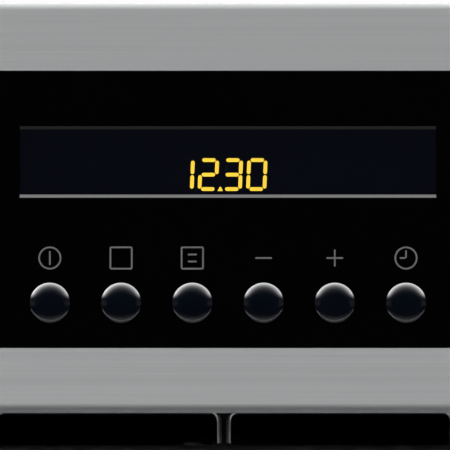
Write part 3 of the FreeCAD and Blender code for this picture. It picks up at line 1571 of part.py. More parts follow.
def blower_form(name, inset):
    """The spiral housing's outer form, or its inside when set in by the sheet."""
    low = f"{DECK_TOP} + {inset}"
    high = f"{blower_top} - {inset}"
    scroll = bar(
        f"{name}_scroll", "z", f"blower_radius - {inset}", low, high, ("blower_x", "blower_y"), SCROLL_SIDES
    )
    spout = block(
        f"{name}_spout",
        (f"blower_x - blower_radius + {inset}", f"blower_x - blower_radius + blower_mouth - {inset}"),
        ("blower_front", "blower_y"),
        (low, high),
    )
    return fuse(name, [scroll, spout])


inlet = bar(
    "blower_inlet_cut",
    "z",
    "blower_inlet",
    f"{blower_top} - sheet_steel",
    blower_top,
    ("blower_x", "blower_y"),
    SCROLL_SIDES,
)
blower_shell = blower_form("blower_outer", "0")
blower_room = blower_form("blower_inner", "sheet_steel")
keep(cut("blower_cut", blower_shell, [blower_room, inlet]), "blower_housing")

wheel = body("wheel")
bore_end = f"({blower_top} + blower_leg_height + blower_motor_height - blower_can_end)"
wheel_foot = f"({DECK_TOP} + sheet_steel + wheel_lift)"
wheel_shaft = disc(sketch(wheel, "XY_Plane", "wheel_shaft"), "wheel_shaft")
feature(wheel, "Pad", "wheel_shaft_pad", wheel_shaft, f"{bore_end} - shaft_end_gap - {wheel_foot}")
hub_profile = outline(sketch(wheel, "XY_Plane", "wheel_hub"), polygon("wheel_hub", TUBE_SIDES))
feature(wheel, "Pad", "wheel_hub_pad", hub_profile, "hub_height")
half_turn = 180 / WHEEL_BLADES
sector_profile = sketch(wheel, "XY_Plane", "sector_profile")
outline(
    sector_profile,
    [
        ("sector_root", f"0 - sector_root * tan({half_turn} deg)"),
        ("wheel_radius", f"0 - wheel_radius * tan({half_turn} deg)"),
        ("wheel_radius", f"wheel_radius * tan({half_turn} deg)"),
        ("sector_root", f"sector_root * tan({half_turn} deg)"),
    ],
)
sector = feature(wheel, "Pad", "sector_pad", sector_profile, "wheel_sheet")
ring_of(wheel, "sector_ring", sector, "Z_Axis", WHEEL_BLADES)
vane_profile = sketch(wheel, "XY_Plane", "vane_profile", "wheel_sheet / 2")
outline(
    vane_profile,
    [
        ("wheel_radius - wheel_blade", "0"),
        ("wheel_radius - wheel_sheet", "blade_lean"),
        ("wheel_radius - wheel_sheet", "blade_lean + wheel_sheet"),
        ("wheel_radius - wheel_blade", "wheel_sheet"),
    ],
)
vane = feature(wheel, "Pad", "vane_pad", vane_profile, "wheel_height - wheel_sheet / 2")
ring_of(wheel, "vane_ring", vane, "Z_Axis", WHEEL_BLADES)
move(wheel, "blower_x", "blower_y", wheel_foot)
keep(wheel, "blower_wheel")

motor_foot = f"({blower_top} + blower_leg_height)"
blower_pieces = [
    bar(
        "blower_can",
        "z",
        "blower_motor_radius",
        motor_foot,
        f"{motor_foot} + blower_motor_height",
        ("blower_x", "blower_y"),
        SCROLL_SIDES,
    )
]
for index in range(BLOWER_LEGS):
    turn = FIRST_LEG + 360 / BLOWER_LEGS * index
    x = f"blower_x + blower_leg_reach * cos({turn} deg)"
    y = f"blower_y + blower_leg_reach * sin({turn} deg)"
    blower_pieces.append(
        bar(f"blower_leg_{index}", "z", "motor_leg", blower_top, f"{motor_foot} + spoke_sheet", (x, y))
    )
    spoke = block(
        f"blower_spoke_{index}",
        ("0", "blower_leg_reach + motor_leg"),
        ("0 - motor_leg", "motor_leg"),
        (motor_foot, f"{motor_foot} + spoke_sheet"),
    )
    turned = group(f"blower_spoke_turned_{index}", [spoke])
    turned.Placement = Placement(Vector(), Rotation(Vector(0, 0, 1), turn))
    bind(turned, ".Placement.Base.x", "blower_x")
    bind(turned, ".Placement.Base.y", "blower_y")
    blower_pieces.append(turned)
blower_bore = rod(
    "blower_bore",
    "z",
    "wheel_shaft + running_gap",
    motor_foot,
    bore_end,
    ("blower_x", "blower_y"),
)
keep(cut("blower_motor_cut", fuse("blower_motor_fused", blower_pieces), [blower_bore]), "blower_motor")

duct_mouth = (f"{FASCIA_LOW} - vent_gap", f"{FASCIA_LOW} - duct_clear")
duct_x = ("blower_x - blower_radius", "blower_x - blower_radius + blower_mouth")


def duct_form(name, inset):
    """The duct's outer form from the grille back to the blower, or its inside when set in by the sheet."""
    made = doc.addObject("Part::Wedge", name)
    front_x, front_z, rear_z = both("duct_half"), duct_mouth, (DECK_TOP, blower_top)
    limits = {
        "Xmin": f"{front_x[0]} + {inset}",
        "Xmax": f"{front_x[1]} - {inset}",
        "Zmin": f"{front_z[0]} + {inset}",
        "Zmax": f"{front_z[1]} - {inset}",
        "X2min": f"{duct_x[0]} + {inset}",
        "X2max": f"{duct_x[1]} - {inset}",
        "Z2min": f"{rear_z[0]} + {inset}",
        "Z2max": f"{rear_z[1]} - {inset}",
        "Ymin": "grille_back",
        "Ymax": "blower_front",
    }
    for side, text in limits.items():
        bind(made, side, text)
    return made


keep(cut("duct_cut", duct_form("duct_outer", "0"), [duct_form("duct_inner", "duct_sheet")]), "air_duct")

# Power board on the deck and terminal block slid into the rear panel's notch

board_low = f"({DECK_TOP} + board_legs)"
board_top = f"({board_low} + board_thick)"
board_pieces = [
    block(
        "power_plate",
        ("board_x", "board_x + board_width"),
        ("board_y", "board_y + board_depth"),
        (board_low, board_top),
    )
]
for ix in (0, 1):
    for iy in (0, 1):
        board_pieces.append(
            bar(
                f"power_leg_{ix}_{iy}",
                "z",
                "board_leg",
                DECK_TOP,
                board_low,
                (
                    f"board_x + board_inset + {ix} * (board_width - 2 * board_inset)",
                    f"board_y + board_inset + {iy} * (board_depth - 2 * board_inset)",
                ),
            )
        )
for index in range(RELAYS):
    relay_x = f"board_x + board_inset + {index} * relay_pitch"
    board_pieces.append(
        block(
            f"relay_{index}",
            (relay_x, f"{relay_x} + relay_width"),
            ("board_y + relay_place", "board_y + relay_place + relay_depth"),
            (board_top, f"{board_top} + relay_height"),
        )
    )
board_pieces.append(
    block(
        "transformer",
        ("board_x + transformer_x", "board_x + transformer_x + transformer_width"),
        ("board_y + transformer_y", "board_y + transformer_y + transformer_depth"),
        (board_top, f"{board_top} + transformer_height"),
    )
)
for index in range(2):
    board_pieces.append(
        bar(
            f"capacitor_{index}",
            "z",
            "capacitor_radius",
            board_top,
            f"{board_top} + capacitor_height",
            (f"board_x + capacitor_x + {index} * capacitor_pitch", "board_y + capacitor_y"),
            TUBE_SIDES,
        )
    )
keep(fuse("power_fused", board_pieces), "power_board")

terminal = block(
    "terminal_blank",
    ("inlet_x - terminal_width / 2", "inlet_x + terminal_width / 2"),
    (f"{REAR_INNER} - terminal_depth", REAR_INNER),
    ("inlet_z - terminal_height / 2", "inlet_z + terminal_height / 2"),
)
terminal_plate = block(
    "terminal_plate",
    ("inlet_x - terminal_width / 2", "inlet_x + terminal_width / 2"),
    (REAR_INNER, "chassis_depth"),
    ("inlet_z - terminal_height / 2", f"{WALL_TOP} - inlet_gap"),
)
terminal_neck = bar(
    "terminal_neck",
    "y",
    "inlet_neck",
    "chassis_depth",
    "chassis_depth + inlet_length",
    ("inlet_x", "inlet_z"),
    TUBE_SIDES,
)
terminal_cuts = [
    rod(
        "terminal_bore",
        "y",
        "inlet_bore",
        f"{REAR_INNER} - terminal_depth + inlet_floor",
        "chassis_depth + inlet_length",
        ("inlet_x", "inlet_z"),
    )
]
for index in range(TERMINALS):
    way_x = f"inlet_x - terminal_width / 2 + way_margin + {index} * way_pitch"
    terminal_cuts.append(
        block(
            f"terminal_way_{index}",
            (way_x, f"{way_x} + way_width"),
            (f"{REAR_INNER} - terminal_depth", f"{REAR_INNER} - terminal_depth + way_depth"),
            ("inlet_z - terminal_height / 2 + way_edge", "inlet_z + terminal_height / 2 - way_edge"),
        )
    )
terminal_body = fuse("terminal_fused", [terminal, terminal_plate, terminal_neck])
keep(cut("terminal_cut", terminal_body, terminal_cuts), "terminal_block")

# Control panel: folded steel frame, glass with its cut-outs, moulded carrier with six bushes

fascia = body("fascia")
front = sketch(fascia, "XZ_Plane", "fascia_front")
rectangle(front, both(HALF_FRONT), (FASCIA_LOW, FRONT_TOP))
feature(fascia, "Pad", "fascia_pad", front, "front_depth")


def front_edge_at(height):
    """A test for the panel's front edge at a height."""
    on_face = lies_on("y", FRONT_FACE)
    at_height = lies_on("z", height)
    return lambda edge: on_face(edge) and at_height(edge)


soften(fascia, "Fillet", "fascia_top_round", "Radius", "fascia_top_edge", front_edge_at(FRONT_TOP))
soften(fascia, "Fillet", "fascia_low_round", "Radius", "fascia_low_edge", front_edge_at(FASCIA_LOW))
inside = sketch(fascia, "XZ_Plane", "fascia_inside")
rectangle(
    inside,
    both(f"{HALF_FRONT} - fascia_sheet"),
    (f"{FASCIA_LOW} + fascia_sheet", f"{FRONT_TOP} - fascia_sheet"),
)
feature(fascia, "Pocket", "fascia_hollow", inside, "front_depth - fascia_sheet", back=True)
window = sketch(fascia, "XZ_Plane", "fascia_window")
rectangle(window, both(WINDOW_HALF), (WINDOW_LOW, WINDOW_TOP))
feature(fascia, "Pocket", "fascia_opening", window, back=True)
keep(fascia, "fascia_frame")

glass = body("glass")
pane = sketch(glass, "XZ_Plane", "glass_front", f"0 - {GLASS_BACK}")
rectangle(
    pane,
    both(f"{WINDOW_HALF} - glass_gap"),
    (f"{WINDOW_LOW} + glass_gap", f"{WINDOW_TOP} - glass_gap"),
)
feature(glass, "Pad", "glass_pad", pane, "glass_thickness")
first_button = f"0 - {(BUTTON_COUNT - 1) / 2} * button_pitch"
button_span = f"{BUTTON_COUNT - 1} * button_pitch"
glass_hole = disc(
    sketch(glass, "XZ_Plane", "glass_hole", f"0 - {GLASS_BACK}"),
    "button_radius + button_gap",
    first_button,
    BUTTON_MID,
)
hole = feature(glass, "Pocket", "glass_hole_cut", glass_hole, back=True)
row_of(glass, "glass_holes", hole, glass_hole, button_span, BUTTON_COUNT)
display_cut = sketch(glass, "XZ_Plane", "display_cut", f"0 - {GLASS_BACK}")
rectangle(
    display_cut,
    both("display_width / 2"),
    (f"{DISPLAY_MID} - display_height / 2", f"{DISPLAY_MID} + display_height / 2"),
)
feature(glass, "Pocket", "display_opening", display_cut, back=True)


def display_front_edge(edge):
    """The upper and lower front edges of the display's opening."""
    heights = [f"{DISPLAY_MID} {sign} display_height / 2" for sign in "+-"]
    return lies_on("y", GLASS_FRONT)(edge) and any(lies_on("z", height)(edge) for height in heights)


chamfer = soften(glass, "Chamfer", "display_chamfer", "Size", "display_bevel_rise", display_front_edge)
chamfer.ChamferType = "Two distances"
bind(chamfer, "Size2", "display_bevel")
doc.recompute()
keep(glass, "fascia_glass")

lens = body("lens")
lens_front = sketch(lens, "XZ_Plane", "lens_front", f"0 - {GLASS_BACK}")
rectangle(
    lens_front,
    both("display_width / 2 - lens_gap"),
    (
        f"{DISPLAY_MID} - display_height / 2 + lens_gap",
        f"{DISPLAY_MID} + display_height / 2 - lens_gap",
    ),
)
feature(lens, "Pad", "lens_pad", lens_front, "glass_thickness - display_bevel")
lens_lip = sketch(lens, "XZ_Plane", "lens_lip", f"0 - {GLASS_BACK}")
rectangle(
    lens_lip,
    both("display_width / 2 + display_lip"),
    (
        f"{DISPLAY_MID} - display_height / 2 - display_lip",
        f"{DISPLAY_MID} + display_height / 2 + display_lip",
    ),
)
feature(lens, "Pad", "lens_lip_pad", lens_lip, "lip_thickness", back=True)
keep(lens, "display_lens")

carrier = body("carrier")
carrier_half = f"({HALF_FRONT} - fascia_sheet - carrier_gap)"
plate = sketch(carrier, "XZ_Plane", "carrier_plate", "carrier_back")
rectangle(
    plate,
    both(carrier_half),
    (f"{FASCIA_LOW} + fascia_sheet + carrier_gap", f"{FRONT_TOP} - fascia_sheet - carrier_gap"),
)
feature(carrier, "Pad", "carrier_pad", plate, "front_depth - fascia_sheet - carrier_back")
bed = sketch(carrier, "XZ_Plane", "carrier_bed", f"0 - {GLASS_BACK}")
rectangle(bed, both(WINDOW_HALF), (WINDOW_LOW, WINDOW_TOP))
feature(carrier, "Pocket", "carrier_bed_cut", bed, back=True)
bush_half = "(button_flange / 2 + flange_gap + bush_margin)"
bush = sketch(carrier, "XZ_Plane", "bush_block", "carrier_back")
rectangle(
    bush,
    (f"{first_button} - {bush_half}", f"{first_button} + {button_span} + {bush_half}"),
    (f"{BUTTON_MID} - {bush_half}", f"{BUTTON_MID} + {bush_half}"),
)
feature(carrier, "Pad", "bush_pad", bush, "bush_length", back=True)
for name, half, place in (
    ("seat", "button_flange / 2 + flange_gap", "carrier_back - bush_length + bush_floor"),
    ("bore", "button_stem / 2 + running_gap", "carrier_back - bush_length"),
):
    opening = sketch(carrier, "XZ_Plane", f"bush_{name}", place)
    rectangle(
        opening,
        (f"{first_button} - ({half})", f"{first_button} + {half}"),
        (f"{BUTTON_MID} - ({half})", f"{BUTTON_MID} + {half}"),
    )
    opening_cut = feature(carrier, "Pocket", f"bush_{name}_cut", opening, back=True)
    row_of(carrier, f"bush_{name}s", opening_cut, opening, button_span, BUTTON_COUNT)
view = sketch(carrier, "XZ_Plane", "carrier_view", "carrier_back")
rectangle(
    view,
    both("display_width / 2 + display_lip + view_gap"),
    (
        f"{DISPLAY_MID} - display_height / 2 - display_lip - view_gap",
        f"{DISPLAY_MID} + display_height / 2 + display_lip + view_gap",
    ),
)
feature(carrier, "Pocket", "carrier_view_cut", view, back=True)
keep(carrier, "fascia_carrier")

keep(
    block(
        "display_block",
        both("display_width / 2"),
        (f"{GLASS_BACK} + lip_thickness + module_gap", "0"),
        (f"{DISPLAY_MID} - display_height / 2", f"{DISPLAY_MID} + display_height / 2"),
    ),
    "display_module",
)

panel_board = block(
    "panel_board_blank",
    both("panel_board_half"),
    ("0", "board_thick"),
    ("panel_board_low", "panel_board_high"),
)
board_middle = "(panel_board_low + panel_board_high) / 2"
board_notches = [
    block(
        f"panel_notch_{side + 1}",
        (f"{side} * panel_board_half - panel_notch", f"{side} * panel_board_half + panel_notch"),
        ("0", "board_thick"),
        (f"{board_middle} - panel_notch", f"{board_middle} + panel_notch"),
    )
    for side in (-1, 1)
]
keep(cut("panel_board_cut", panel_board, board_notches), "control_board")
board_corners = [
    (f"{side} * (panel_board_half - boss_inset)", height)
    for side in (-1, 1)
    for height in ("panel_board_low + boss_inset", "panel_board_high - boss_inset")
]

housing_outer = block(
    "housing_blank",
    both("panel_board_half + housing_gap + housing_wall"),
    (CARRIER_BACK, "board_thick + housing_room + housing_wall"),
    ("panel_board_low - housing_gap - housing_wall", "panel_board_high + housing_gap + housing_wall"),
)
housing_room = block(
    "housing_room_cut",
    both("panel_board_half + housing_gap"),
    (CARRIER_BACK, "board_thick + housing_room"),
    ("panel_board_low - housing_gap", "panel_board_high + housing_gap"),
)
housing_pieces = [cut("housing_tray", housing_outer, [housing_room])]
for index, place in enumerate(board_corners):
    housing_pieces.append(
        bar(f"housing_boss_{index}", "y", "boss_half", "board_thick", "board_thick + housing_room", place)
    )
keep(fuse("housing_fused", housing_pieces), "control_housing")

bracket_side = block(
    "bracket_side",
    (f"{WALL_INNER} - bracket_sheet", WALL_INNER),
    (CARRIER_BACK, "bracket_reach"),
    ("bracket_low", "bracket_high"),
)
bracket_fold = block(
    "bracket_fold_plate",
    (f"{WALL_INNER} - bracket_fold", WALL_INNER),
    (CARRIER_BACK, f"{CARRIER_BACK} + bracket_sheet"),
    ("bracket_low", "bracket_high"),
)
bracket = fuse("bracket_fused", [bracket_side, bracket_fold])
keep(group("bracket_pair", [bracket, mirrored("bracket_mirror", bracket)]), "panel_brackets")


def button_place(index):
    """Middle of a button across the front."""
    return f"({index} - {(BUTTON_COUNT - 1) / 2}) * button_pitch"


switches = []
for index in range(BUTTON_COUNT):
    middle = button_place(index)
    can = block(
        f"switch_can_{index}",
        (f"{middle} - switch_size / 2", f"{middle} + switch_size / 2"),
        ("0 - switch_depth", "0"),
        (f"{BUTTON_MID} - switch_size / 2", f"{BUTTON_MID} + switch_size / 2"),
    )
    plunger = block(
        f"switch_plunger_{index}",
        (f"{middle} - plunger_size / 2", f"{middle} + plunger_size / 2"),
        ("0 - switch_depth - plunger_height", "0 - switch_depth"),
        (f"{BUTTON_MID} - plunger_size / 2", f"{BUTTON_MID} + plunger_size / 2"),
    )
    switches.append(fuse(f"switch_{index}", [can, plunger]))
keep(group("switch_group", switches), "tact_switches")

# Six domed push buttons

rim_face = f"({GLASS_FRONT} - button_stand)"
dome_tip = f"({rim_face} - button_dome)"
flange_front = f"({GLASS_BACK} + button_gap)"
stem_end = "(0 - switch_depth - plunger_height - button_gap - button_travel)"


def button(name, index):
    """One push button: a cap bevelled twice into a dome, a square retaining flange and a square stem."""
    x = button_place(index)
    cap = bar(f"{name}_cap", "y", "button_radius", dome_tip, flange_front, (x, BUTTON_MID), CAP_SIDES)
    for piece, leg in (("shoulder", "button_dome"), ("crown", "button_crown")):
        cap = bevelled(f"{name}_{piece}", cap, leg, lies_on("y", dome_tip))
    pieces = [cap]
    for piece, side, back in (
        ("flange", "button_flange", f"{flange_front} + flange_thickness"),
        ("stem", "button_stem", stem_end),
    ):
        pieces.append(bar(f"{name}_{piece}", "y", f"{side} / 2", flange_front, back, (x, BUTTON_MID)))
    return keep(fuse(f"{name}_fused", pieces), name)


for index, name in enumerate(
    ("button_power", "button_function", "button_heat", "button_minus", "button_plus", "button_clock")
):
    button(name, index)

# Vent grille under the panel: eight rounded slots between ribs

grille = body("grille")
grille_low = "frame_high"
grille_face = sketch(grille, "XZ_Plane", "grille_face", "0 - grille_back")
rectangle(grille_face, both("grille_half"), (grille_low, FASCIA_LOW))
feature(grille, "Pad", "grille_pad", grille_face, "grille_front + grille_back")
slot_sketch = sketch(grille, "XZ_Plane", "grille_slot", "0 - grille_back")
slot_left = f"0 - {SLOT_COUNT / 2} * slot_pitch + slot_rib / 2"
slot_roof = f"({FASCIA_LOW} - slot_top)"
rectangle(
    slot_sketch,
    (slot_left, f"{slot_left} + slot_pitch - slot_rib"),
    (f"{slot_roof} - slot_height", slot_roof),
)
slot = feature(grille, "Pocket", "grille_slot_cut", slot_sketch, back=True)
row_of(grille, "grille_slots", slot, slot_sketch, f"{SLOT_COUNT - 1} * slot_pitch", SLOT_COUNT)


def slot_corner_edge(edge):
    """The edges along the air's way inside the slots."""
    heights = (slot_roof, f"{slot_roof} - slot_height")
    return straight_along("y")(edge) and any(lies_on("z", height)(edge) for height in heights)


soften(grille, "Chamfer", "grille_corners", "Size", "slot_corner", slot_corner_edge)
keep(grille, "vent_grille")

# Door: three panes between folded rails and side profiles


def folded_rail(name, low, high, depth):
    """A steel rail across the door, folded at its edges and open at the back."""
    rail = body(f"{name}_body")
    face = sketch(rail, "XZ_Plane", f"{name}_face", f"front_depth - {depth}")
    rectangle(face, both(HALF_FRONT), (low, high))
    feature(rail, "Pad", f"{name}_pad", face, depth)
    on_front = lies_on("y", FRONT_FACE)
    soften(rail, "Fillet", f"{name}_round", "Radius", "rail_edge", on_front)
    hollow = sketch(rail, "XZ_Plane", f"{name}_inside", f"front_depth - {depth}")
    rectangle(
        hollow,
        both(f"{HALF_FRONT} - rail_sheet"),
        (f"{low} + rail_sheet", f"{high} - rail_sheet"),
    )
    feature(rail, "Pocket", f"{name}_hollow", hollow, f"{depth} - rail_sheet", back=True)
    return rail


rail_bottom = f"({DOOR_TOP} - top_rail)"
keep(folded_rail("door_top", rail_bottom, DOOR_TOP, "top_rail_depth"), "door_top_rail")
low_rail = folded_rail("door_low", "door_bottom", "door_bottom + low_rail", "low_rail_depth")
arm_half = "(arm_sheet / 2 + arm_side_gap + cheek_sheet)"
low_cuts = [
    block(
        f"low_rail_gap_{side + 1}_{tier}",
        (
            f"{side} * hinge_place - {arm_half} - rail_cut_gap",
            f"{side} * hinge_place + {arm_half} + rail_cut_gap",
        ),
        ("0 - cheek_front - rail_cut_gap", f"{FRONT_FACE} + low_rail_depth"),
        (low, f"{low} + rail_sheet"),
    )
    for side in (-1, 1)
    for tier, low in enumerate(("door_bottom", "door_bottom + low_rail - rail_sheet"))
]
keep(cut("low_rail_cut", low_rail, low_cuts), "door_bottom_rail")

outer_low = "(door_bottom + low_rail + pane_gap)"
keep(
    bevelled(
        "outer_pane",
        block(
            "outer_pane_blank",
            both(HALF_FRONT),
            (FRONT_FACE, f"{FRONT_FACE} + door_glass"),
            (outer_low, f"{rail_bottom} - pane_gap"),
        ),
        "pane_gap",
        lies_on("y", FRONT_FACE),
    ),
    "door_glass",
)

profile_front = f"({FRONT_FACE} + door_glass)"
pane_back = "(inner_face - door_glass)"
side_bar = block(
    "profile_bar",
    ("profile_inner", "profile_outer"),
    (profile_front, pane_back),
    ("profile_low", "profile_high"),
)
groove = block(
    "profile_groove",
    ("profile_inner", "profile_inner + groove_depth"),
    ("0 - middle_front - groove_gap", "door_glass - middle_front + groove_gap"),
    ("middle_low", "profile_high"),
)
channel = block(
    "profile_channel",
    ("profile_inner + groove_depth + profile_wall", "profile_outer - profile_wall"),
    (f"{profile_front} + profile_wall", f"{pane_back} - profile_wall"),
    ("profile_low", "profile_high"),
)
low_relief = block(
    "profile_relief",
    ("profile_inner", "profile_outer"),
    (profile_front, f"{FRONT_FACE} + low_rail_depth"),
    ("profile_low", "door_bottom + low_rail"),
)
high_relief = block(
    "profile_top_relief",
    ("profile_inner", "profile_outer"),
    (profile_front, f"{FRONT_FACE} + top_rail_depth"),
    (rail_bottom, "profile_high"),
)
profile_right = cut("profile_cut", side_bar, [groove, channel, low_relief, high_relief])
keep(group("profile_pair", [profile_right, mirrored("profile_mirror", profile_right)]), "door_profiles")

keep(
    block(
        "middle_pane",
        both("profile_inner + groove_depth - groove_gap"),
        ("0 - middle_front", "door_glass - middle_front"),
        ("middle_low", "profile_high"),
    ),
    "door_middle_glass",
)
keep(
    block("inner_pane", both("profile_outer"), (pane_back, "inner_face"), ("inner_low", "profile_high")),
    "door_inner_glass",
)
cap = block(
    "cap_blank",
    both("profile_outer"),
    (f"{FRONT_FACE} + top_rail_depth", "inner_face"),
    ("profile_high", "profile_high + cap_height"),
)
cap_slots = [
    block(
        f"cap_slot_{index}",
        (f"{place} * cap_pitch - cap_slot / 2", f"{place} * cap_pitch + cap_slot / 2"),
        ("cap_slot_front", "cap_slot_front + cap_slot_depth"),
        ("profile_high", "profile_high + cap_height"),
    )
    for index, place in enumerate(range(-(CAP_SLOTS // 2), CAP_SLOTS // 2 + 1))
]
keep(cut("cap_cut", cap, cap_slots), "door_cap")

handle_y = f"({FRONT_FACE} - handle_reach)"
handle_z = f"({DOOR_TOP} - top_rail / 2)"
handle = rod("handle_rod", "x", "handle_radius", "0 - handle_half", "handle_half", (handle_y, handle_z))
keep(handle, "handle_bar")
posts = []
for side in (-1, 1):
    middle = f"{side} * post_place"
    post = block(
        f"post_block_{side + 1}",
        (f"{middle} - post_half", f"{middle} + post_half"),
        (handle_y, FRONT_FACE),
        (f"{handle_z} - post_half", f"{handle_z} + post_half"),
    )
    saddle = rod(
        f"post_saddle_{side + 1}",
        "x",
        "handle_radius",
        f"{middle} - post_half * 2",
        f"{middle} + post_half * 2",
        (handle_y, handle_z),
    )
    posts.append(cut(f"post_{side + 1}", post, [saddle]))
keep(group("post_pair", posts), "handle_posts")

# Door hinges: fixed arms hooked into receivers, pins through the arms' eyes, brackets on the door

hinge_y = "(0 - hinge_setback)"
arm_x = ("hinge_place - arm_sheet / 2", "hinge_place + arm_sheet / 2")
arm_blank = block(
    "arm_blank", arm_x, (hinge_y, "arm_back"), ("hinge_height - arm_eye", "hinge_height + arm_eye")
)
arm_round = rod("arm_eye_disc", "x", "arm_eye", arm_x[0], arm_x[1], (hinge_y, "hinge_height"))
arm_bore = rod("arm_bore", "x", "pin_radius + running_gap", arm_x[0], arm_x[1], (hinge_y, "hinge_height"))
notch = block(
    "arm_notch_cut",
    arm_x,
    ("arm_notch_place - pin_radius - receiver_gap", "arm_notch_place + pin_radius + receiver_gap"),
    ("hinge_height + arm_eye - arm_notch", "hinge_height + arm_eye"),
)
arm = cut("arm_cut", fuse("arm_fused", [arm_blank, arm_round]), [arm_bore, notch])
keep(group("arm_pair", [arm, mirrored("arm_mirror", arm)]), "hinge_arms")

receiver_blank = block(
    "receiver_blank",
    (f"hinge_place - {RECEIVER_HALF}", f"hinge_place + {RECEIVER_HALF}"),
    (MOUTH, "receiver_back"),
    ("hinge_height - arm_eye - receiver_wall", "receiver_high"),
)
receiver_slot = block(
    "receiver_slot",
    ("hinge_place - arm_sheet / 2 - receiver_gap", "hinge_place + arm_sheet / 2 + receiver_gap"),
    (MOUTH, "receiver_back"),
    ("hinge_height - arm_eye", "receiver_high"),
)
receiver_bar = bar(
    "receiver_bar",
    "x",
    "pin_radius",
    f"hinge_place - {RECEIVER_HALF}",
    f"hinge_place + {RECEIVER_HALF}",
    ("arm_notch_place", "hinge_height + arm_eye - arm_notch + receiver_gap + pin_radius"),
)
receiver = fuse("receiver_fused", [cut("receiver_cut", receiver_blank, [receiver_slot]), receiver_bar])
keep(group("receiver_pair", [receiver, mirrored("receiver_mirror", receiver)]), "hinge_receivers")

bracket_x = (f"hinge_place - {arm_half}", f"hinge_place + {arm_half}")
lobe_y = ("0 - cheek_front", "0 - cheek_lobe_back")
lobe = block("cheek_lobe_block", bracket_x, lobe_y, ("cheek_low", "cheek_lobe"))
stem_y = ("0 - cheek_front", "0 - cheek_back")
stem = block("cheek_stem_block", bracket_x, stem_y, ("cheek_lobe", "cheek_high"))
cheek_gap = block(
    "cheek_gap",
    ("hinge_place - arm_sheet / 2 - arm_side_gap", "hinge_place + arm_sheet / 2 + arm_side_gap"),
    ("0 - cheek_front + cheek_web", "0 - cheek_lobe_back"),
    ("cheek_low", "cheek_high"),
)
cheek_bore = bar("cheek_bore", "x", "pin_key", bracket_x[0], bracket_x[1], (hinge_y, "hinge_height"))
hinge_bracket = cut("hinge_bracket", fuse("cheek_fused", [lobe, stem]), [cheek_gap, cheek_bore])
hinge_bracket_pair = [hinge_bracket, mirrored("hinge_bracket_mirror", hinge_bracket)]
keep(group("hinge_bracket_pair", hinge_bracket_pair), "hinge_brackets")

pin_shank = rod("pin_shank", "x", "pin_radius", arm_x[0], arm_x[1], (hinge_y, "hinge_height"))
pin_ends = [
    bar(f"pin_end_{index}", "x", "pin_key", low, high, (hinge_y, "hinge_height"))
    for index, (low, high) in enumerate(((bracket_x[0], arm_x[0]), (arm_x[1], bracket_x[1])))
]
pin_cap = bar(
    "pin_cap",
    "x",
    "pin_head",
    f"{bracket_x[0]} - pin_head_height",
    bracket_x[0],
    (hinge_y, "hinge_height"),
    TUBE_SIDES,
)
hinge_pin = fuse("hinge_pin", [pin_shank, pin_cap] + pin_ends)
keep(group("hinge_pin_pair", [hinge_pin, mirrored("hinge_pin_mirror", hinge_pin)]), "hinge_pins")

# Check and write

doc.recompute()
faults = []
for thing in doc.Objects:
    if "Invalid" in thing.State or "Error" in thing.State:
        faults.append(f"{thing.Label}: {thing.State}")
for thing in SUBPARTS:
    if thing.Shape.isNull() or not thing.Shape.isValid():
        faults.append(f"{thing.Label}: no sound shape")
if faults:
    raise SystemExit("\n".join(faults))
os.makedirs("parts", exist_ok=True)
for thing in SUBPARTS:
    thing.Shape.exportStep(f"parts/{thing.Label}.step")
print(f"{len(SUBPARTS)} sub-parts written")
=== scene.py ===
import math

import bpy
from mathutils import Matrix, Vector


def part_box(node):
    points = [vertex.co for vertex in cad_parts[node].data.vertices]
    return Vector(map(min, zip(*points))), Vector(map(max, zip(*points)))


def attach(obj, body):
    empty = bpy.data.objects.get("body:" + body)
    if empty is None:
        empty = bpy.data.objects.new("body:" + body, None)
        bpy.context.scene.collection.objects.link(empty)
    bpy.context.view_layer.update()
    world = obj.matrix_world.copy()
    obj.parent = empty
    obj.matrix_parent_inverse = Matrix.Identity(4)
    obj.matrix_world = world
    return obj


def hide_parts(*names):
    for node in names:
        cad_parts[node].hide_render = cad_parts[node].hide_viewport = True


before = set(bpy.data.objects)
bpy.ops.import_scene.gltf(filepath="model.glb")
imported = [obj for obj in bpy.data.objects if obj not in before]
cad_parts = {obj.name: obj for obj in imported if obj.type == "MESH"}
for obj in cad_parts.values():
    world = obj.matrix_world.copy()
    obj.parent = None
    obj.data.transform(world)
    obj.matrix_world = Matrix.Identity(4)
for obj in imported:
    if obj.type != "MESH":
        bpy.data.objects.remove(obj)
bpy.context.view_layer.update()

# The studio: a white surround behind the oven, dark where the camera stands, with a broad soft light over the
# panel that fades towards the front, faint light from beside, above and below, one lamp at the rear, and the
# pale floor that the oven stands on.
scene = bpy.context.scene
scene.view_settings.view_transform = "Standard"


def add(tree, kind, sockets=None, **settings):
    """A shader node with its sockets' values and its settings given by name."""
    made = tree.nodes.new("ShaderNode" + kind)
    for name, value in settings.items():
        setattr(made, name, value)
    for name, value in (sockets or {}).items():
        made.inputs[name].default_value = value
    return made


def calc(tree, operation, first, second=0.0):
    """The outcome of a sum on two values, each a number or another node's output."""
    made = add(tree, "Math", operation=operation)
    for socket, value in zip(made.inputs, (first, second)):
        if isinstance(value, (int, float)):
            socket.default_value = value
        else:
            tree.links.new(value, socket)
    return made.outputs["Value"]


def rise(tree, value, low, high, start=0.0, end=1.0):
    """A value that eases from start to end while another goes from low to high."""
    made = add(tree, "MapRange", {"From Min": low, "From Max": high, "To Min": start, "To Max": end},
               interpolation_type="SMOOTHSTEP")
    tree.links.new(value, made.inputs["Value"])
    return made.outputs["Result"]


